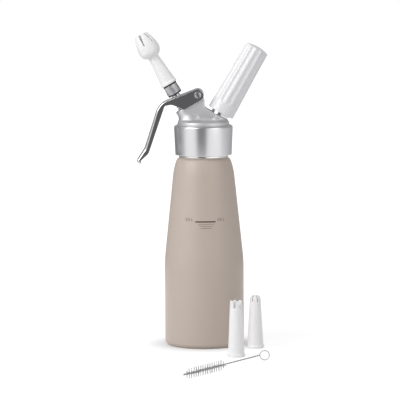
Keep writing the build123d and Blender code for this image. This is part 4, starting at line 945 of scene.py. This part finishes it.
# ---- Gas inlet: a stud of turned steel, fixed in the casting and screwed for the holder. In it are the
# needle that pierces the charger and the rubbers that keep the gas in. The O-ring that the valve's
# spindle slides in is of the same rubber.
STUD_R, STUD_CORE_R, STUD_TOP_A, STUD_RECESS_R, STUD_RECESS_A = 9.5, 8.9, 46.0, 4.9, 38.0
STUD_LEAD = 3.0
NIPPLE_R, NIPPLE_A, SHANK_A, GAS_BORE_R, GAS_BORE_A = 2.2, 10.4, 14.0, 0.8, 11.4
NEEDLE_R, NEEDLE_A = 1.0, 34.0
bm = spun(rounded(
    [
        (0, NIPPLE_A), (NIPPLE_R, NIPPLE_A), (NIPPLE_R, SHANK_A), (STUD_SHANK_R, SHANK_A),
        (STUD_SHANK_R, FACET_A), (STUD_CORE_R, FACET_A), (STUD_CORE_R, STUD_TOP_A),
        (STUD_RECESS_R, STUD_TOP_A), (STUD_RECESS_R, STUD_RECESS_A), (NEEDLE_R, STUD_RECESS_A),
        (NEEDLE_R, NEEDLE_A), (GAS_BORE_R, NEEDLE_A), (GAS_BORE_R, GAS_BORE_A), (0, GAS_BORE_A),
    ],
    [0, 0.2, 0, 0.3, 0, 0, 0.5, 0.3, 0, 0, 0, 0, 0, 0], steps=3,
), 96)
merge(bm, screw_thread(
    FACET_A + 1.5, STUD_TOP_A - 0.5, STUD_CORE_R - 0.1, STUD_R, STUD_LEAD, 1, width=1.8
))
placed(bm, leaning(GAS_SIDE, 0))
fit(bm, "inlet_stud", [bright_steel], "head", "turned_steel", "charger_stud")
for node, name in (("stud_ring", "stud_o_ring"), ("spindle_o_ring", "spindle_seal_ring")):
    fit(dressed(node, edge=0), name, [black_rubber], "head", "black_rubber", node, sharp=60)
for node, name in (("needle_seal", "charger_seal"), ("non_return_sleeve", "gas_sleeve")):
    fit(dressed(node), name, [black_rubber], "head", "black_rubber", node)
fit(dressed("piercing_needle", edge=0), "needle", [bright_steel], "head", "turned_steel", "piercing_needle")


# ---- Gasket: a ring moulded in pale silicone. It lies in the head, comes off with it, and seals on
# the bottle's mouth.
# Silicone: moulded, cloudy and soft in its shine. It is drawn opaque, because it lies inside the head.
silicone = surface("translucent_silicone", "#dfdcd4", 0.42, grain=0.8, depth=0.008, mottle=0.03)
fit(dressed("head_gasket", edge=0.5), "mouth_gasket", [silicone], "gasket", "silicone", "head_gasket")


# ---- Gas charger: a capsule drawn from steel and zinc plated, with a round end and a sealed neck. It
# stands in the holder, with its neck towards the needle.
# Zinc plate: an even, bright grey with faint clouds.
zinc_plate = surface("zinc_plated_steel", "#c6c8ca", 0.28, metallic=1.0, grain=1.2, depth=0.006, mottle=0.06)
fit(
    dressed("gas_charger", edge=0.3, flat=1.0), "capsule", [zinc_plate], "charger", "charger_steel",
    "gas_charger",
)


# ---- Charger holder: a cup moulded in glossy white plastic, screwed onto the stud. Twelve flutes give
# the fingers a grip; they start round above a plain band and run out over the domed top.
HOLDER_A, HOLDER_SHOULDER, HOLDER_RIM_R, HOLDER_TOP_R, HOLDER_BORE_R = 35.0, 73.8, 13.85, 12.2, 9.8
HOLDER_BORE_TOP, DOME_RISE = 71.9, 2.2
FLUTES, FLUTE_R, FLUTE_DEPTH, FLUTE_START, FLUTE_TURN, FLUTE_EDGE = 12, 3.6, 1.1, 9.5, -20.0, 0.22
ROW_STEP, ROWS = 4.9, 12
# ABS: moulded in a polished tool, so it is smooth and glossy.
glossy_plastic = surface("glossy_white_abs", "#eaeaeb", 0.2, grain=3.0, depth=0.004, mottle=0.01)
rows = [FLUTE_START + FLUTE_R * share for share in (-0.1, 0, 0.08, 0.2, 0.4, 0.7, 1.0)]
rows += [FLUTE_START + FLUTE_R + 2 + number * ROW_STEP for number in range(ROWS)]


def holder_radius(height):
    """The holder's radius on the ridges between its flutes."""
    return HOLDER_RIM_R + (HOLDER_TOP_R - HOLDER_RIM_R) * height / HOLDER_SHOULDER


wall = [(HOLDER_BORE_R, 0), (HOLDER_RIM_R, 0)] + [(holder_radius(h), h) for h in rows]
wall.append((HOLDER_TOP_R, HOLDER_SHOULDER))
dome = [
    (HOLDER_TOP_R * share, HOLDER_SHOULDER + DOME_RISE * (1 - share ** 2))
    for share in (0.8, 0.64, 0.48, 0.32, 0.16, 0)
]
outline = rounded(
    [(0, HOLDER_BORE_TOP), (HOLDER_BORE_R, HOLDER_BORE_TOP), *wall, *dome],
    [0, 2.0, 0.4, 0.8] + [0] * len(rows) + [1.6] + [0] * len(dome), steps=6,
)
bm = spun(outline, steps=FLUTES * 20)
for vert in bm.verts:
    radius = math.hypot(vert.co.x, vert.co.y) / MM
    height = vert.co.z / MM
    if radius < HOLDER_BORE_R + 0.8 or height < FLUTE_START - 0.5:
        continue
    turn = math.degrees(math.atan2(vert.co.y, vert.co.x)) + 90 - FLUTE_TURN
    off = math.radians((turn + 180 / FLUTES) % (360 / FLUTES) - 180 / FLUTES)
    ridge_r = holder_radius(min(height, HOLDER_SHOULDER))
    centre_r = ridge_r + FLUTE_R - FLUTE_DEPTH
    short = max(0.0, FLUTE_START + FLUTE_R - height)
    bar_r2 = FLUTE_R ** 2 - short ** 2 - (centre_r * math.sin(off)) ** 2
    floor_r = centre_r * math.cos(off) - math.sqrt(bar_r2) if bar_r2 > 0 else ridge_r + 1.0
    deep = ridge_r - floor_r
    groove = (deep + math.hypot(deep, FLUTE_EDGE)) / 2
    new_r = min(radius, ridge_r - groove)
    vert.co.x *= new_r / radius
    vert.co.y *= new_r / radius
placed(bm, leaning(GAS_SIDE, HOLDER_A))
fit(bm, "fluted_holder", [glossy_plastic], "holder", "holder_plastic", "charger_holder", sharp=60)


# ---- Spare tips: the same moulding with other mouths, one cut with V-shaped slots round an open end,
# the other closed to a dome with narrow slits. Both stand on their feet beside the bottle.
SLOTTED_PLACE, SLOTTED_LENGTH, SLOTTED_TOP_R = (31.0, -83.0), 55.5, 6.0
STAR_PLACE, STAR_LENGTH, STAR_TOP_R, STAR_ROUND_R, STAR_MOUTH_R = (51.1, -28.5), 53.6, 5.2, 4.2, 1.6
bm = spun(rounded(
    [
        (SOCKET_R, 0), (TIP_FOOT_R, 0), (TIP_FOOT_R, TIP_FOOT_T), (TIP_CONE_R, TIP_CONE_Z),
        (SLOTTED_TOP_R, SLOTTED_LENGTH), (SLOTTED_TOP_R - TIP_WALL, SLOTTED_LENGTH),
        (SLOTTED_TOP_R - TIP_WALL, SOCKET_DEPTH), (SOCKET_R, SOCKET_DEPTH),
    ], [0] * 8,
), 96, closed=True)
end_slots = notches(6, -17, SLOTTED_LENGTH, depth=7.2, foot_width=1.8, top_width=3.4, reach=9)
bm = moulded(with_modifiers(bm, [], [end_slots]))
placed(bm, Matrix.Translation((SLOTTED_PLACE[0] * MM, SLOTTED_PLACE[1] * MM, 0)))
fit(bm, "slotted_tip_moulding", [white_plastic], "slotted_tip", "tip_plastic", "slotted_tip", sharp=60)

bm = spun(rounded(
    [
        (0, STAR_LENGTH - TIP_WALL), (STAR_TOP_R - TIP_WALL, STAR_LENGTH - TIP_WALL),
        (TIP_BORE_R, SOCKET_DEPTH), (SOCKET_R, SOCKET_DEPTH), (SOCKET_R, 0), (TIP_FOOT_R, 0),
        (TIP_FOOT_R, TIP_FOOT_T), (TIP_CONE_R, TIP_CONE_Z), (STAR_TOP_R, STAR_LENGTH), (0, STAR_LENGTH),
    ], [0, STAR_ROUND_R - TIP_WALL, 0, 0, 0, 0, 0, 0, STAR_ROUND_R, 0], steps=10,
), 96)
mouth_foot, mouth_top = STAR_LENGTH - 8, STAR_LENGTH + 2
star_mouth = spun([
    (0, mouth_foot), (STAR_MOUTH_R, mouth_foot), (STAR_MOUTH_R, mouth_top), (0, mouth_top),
], 32)
star_slits = notches(6, 25, STAR_LENGTH, depth=7.0, foot_width=0.9, top_width=0.9, reach=8)
bm = moulded(with_modifiers(bm, [], [star_mouth, star_slits]))
placed(bm, Matrix.Translation((STAR_PLACE[0] * MM, STAR_PLACE[1] * MM, 0)))
fit(bm, "star_tip_moulding", [white_plastic], "star_tip", "tip_plastic", "star_tip", sharp=60)


# ---- Cleaning brush: two galvanised wires twisted together, which hold nylon bristles in their twist.
# One wire goes on into a ring to hold the brush by, and the ring is bent round to the front.
BRUSH_RING_AT, BRUSH_RING_R, BRUSH_WIRE_R = (58.2, -110.0, 5.3), 4.6, 0.7
BRUSH_WIRE_LENGTH, BRUSH_ANGLE = 133.6, -123.5
BRUSH_R, BRUSH_BRISTLES, BRUSH_TAIL = 5.3, 66.0, 3.0
BRUSH_TAPER, BRUSH_FOOT_TAPER, BRUSH_END_SHARE, BRUSH_FOOT_SHARE = 6.0, 2.0, 0.5, 0.3
WIRE_TWIST, TWIST_STEPS = 7.8, 20
TUFT_STEP, TUFT_HAIRS, HAIR_R = WIRE_TWIST / 4, 5, 0.14
# How much the hairs of a tuft spread: along the wire in steps, and in their two angles in radians.
TUFT_SPREAD, HAIR_TURN, HAIR_LEAN = 0.22, 0.12, 0.03
HAIR_SHORTEST, HAIR_LONGEST, HAIR_TIP = 0.88, 0.99, 0.6      # shares of the reach and of the foot's radius
# Galvanised wire: drawn steel under zinc, a dull grey with faint clouds.
galvanised_wire = surface(
    "galvanised_wire", "#a0a2a5", 0.36, metallic=1.0, grain=0.4, depth=0.004, mottle=0.1
)
# Nylon: extruded, so each bristle is smooth, with a slight shine. The bristles are made thicker and
# fewer than real ones, so that they show.
nylon = surface("grey_nylon_bristle", "#9a9a9c", 0.4, grain=0.4, depth=0.0, mottle=0.05)
ring_at = Matrix.Translation(Vector(BRUSH_RING_AT) * MM)
along_brush = (
    ring_at @ Matrix.Translation((-BRUSH_RING_R * MM, 0, 0))
    @ Matrix.Rotation(math.radians(BRUSH_ANGLE), 4, "Z") @ Matrix.Rotation(math.pi / 2, 4, "Y")
)
strand_r = BRUSH_WIRE_R / 2
twists = BRUSH_WIRE_LENGTH / WIRE_TWIST
bm = bmesh.new()
for side in (0, 1):
    strand = bmesh.new()
    bmesh.ops.create_circle(strand, cap_ends=True, radius=strand_r * MM, segments=10)
    placed(strand, Matrix.Rotation(math.pi * side, 4, "Z") @ Matrix.Translation((strand_r * MM, 0, 0)))
    wound = bmesh.ops.spin(
        strand, geom=strand.verts[:] + strand.edges[:], axis=(0, 0, 1), cent=(0, 0, 0),
        steps=round(twists * TWIST_STEPS), angle=math.tau * twists,
        dvec=(0, 0, BRUSH_WIRE_LENGTH * MM / round(twists * TWIST_STEPS)),
    )
    bmesh.ops.contextual_create(
        strand, geom=[e for e in wound["geom_last"] if isinstance(e, bmesh.types.BMEdge)]
    )
    bmesh.ops.recalc_face_normals(strand, faces=strand.faces)
    merge(bm, strand)
placed(bm, along_brush)
ring = bmesh.new()
bmesh.ops.create_circle(ring, radius=strand_r * MM, segments=12)
placed(ring, Matrix.Translation((BRUSH_RING_R * MM, 0, 0)) @ Matrix.Rotation(math.pi / 2, 4, "X"))
bmesh.ops.spin(
    ring, geom=ring.verts[:] + ring.edges[:], axis=(0, 0, 1), cent=(0, 0, 0), steps=72,
    angle=math.tau, use_merge=True,
)
bmesh.ops.remove_doubles(ring, verts=ring.verts, dist=0.002 * MM)
bmesh.ops.recalc_face_normals(ring, faces=ring.faces)
merge(bm, placed(ring, ring_at @ Matrix.Rotation(math.pi / 2, 4, "X")))
fit(bm, "twisted_wire", [galvanised_wire], "brush", "brush_wire_steel", "brush_wire", sharp=60)

chance = random.Random(4)
bm = bmesh.new()
hair_foot = BRUSH_WIRE_LENGTH - BRUSH_TAIL - BRUSH_BRISTLES
for number in range(round(BRUSH_BRISTLES / TUFT_STEP) * TUFT_HAIRS):
    tuft = number // TUFT_HAIRS
    height = (tuft + 0.5 + chance.uniform(-TUFT_SPREAD, TUFT_SPREAD)) * TUFT_STEP
    reach = BRUSH_R * min(
        1.0, BRUSH_END_SHARE + (1 - BRUSH_END_SHARE) * (BRUSH_BRISTLES - height) / BRUSH_TAPER,
        BRUSH_FOOT_SHARE + (1 - BRUSH_FOOT_SHARE) * height / BRUSH_FOOT_TAPER,
    )
    for side in (0, math.pi):
        length = reach * chance.uniform(HAIR_SHORTEST, HAIR_LONGEST)
        hair = bmesh.new()
        bmesh.ops.create_cone(
            hair, cap_ends=True, segments=5, radius1=HAIR_R * MM, radius2=HAIR_R * HAIR_TIP * MM,
            depth=length * MM,
        )
        placed(hair, (
            along_brush @ Matrix.Translation((0, 0, (hair_foot + height) * MM))
            @ Matrix.Rotation(math.pi / 2 * tuft + side + chance.uniform(-HAIR_TURN, HAIR_TURN), 4, "Z")
            @ Matrix.Rotation(math.pi / 2 + chance.uniform(-HAIR_LEAN, HAIR_LEAN), 4, "Y")
            @ Matrix.Translation((0, 0, length / 2 * MM))
        ))
        merge(bm, hair)
fit(bm, "bristles", [nylon], "brush", "nylon_bristles", "brush_bristles", sharp=60)
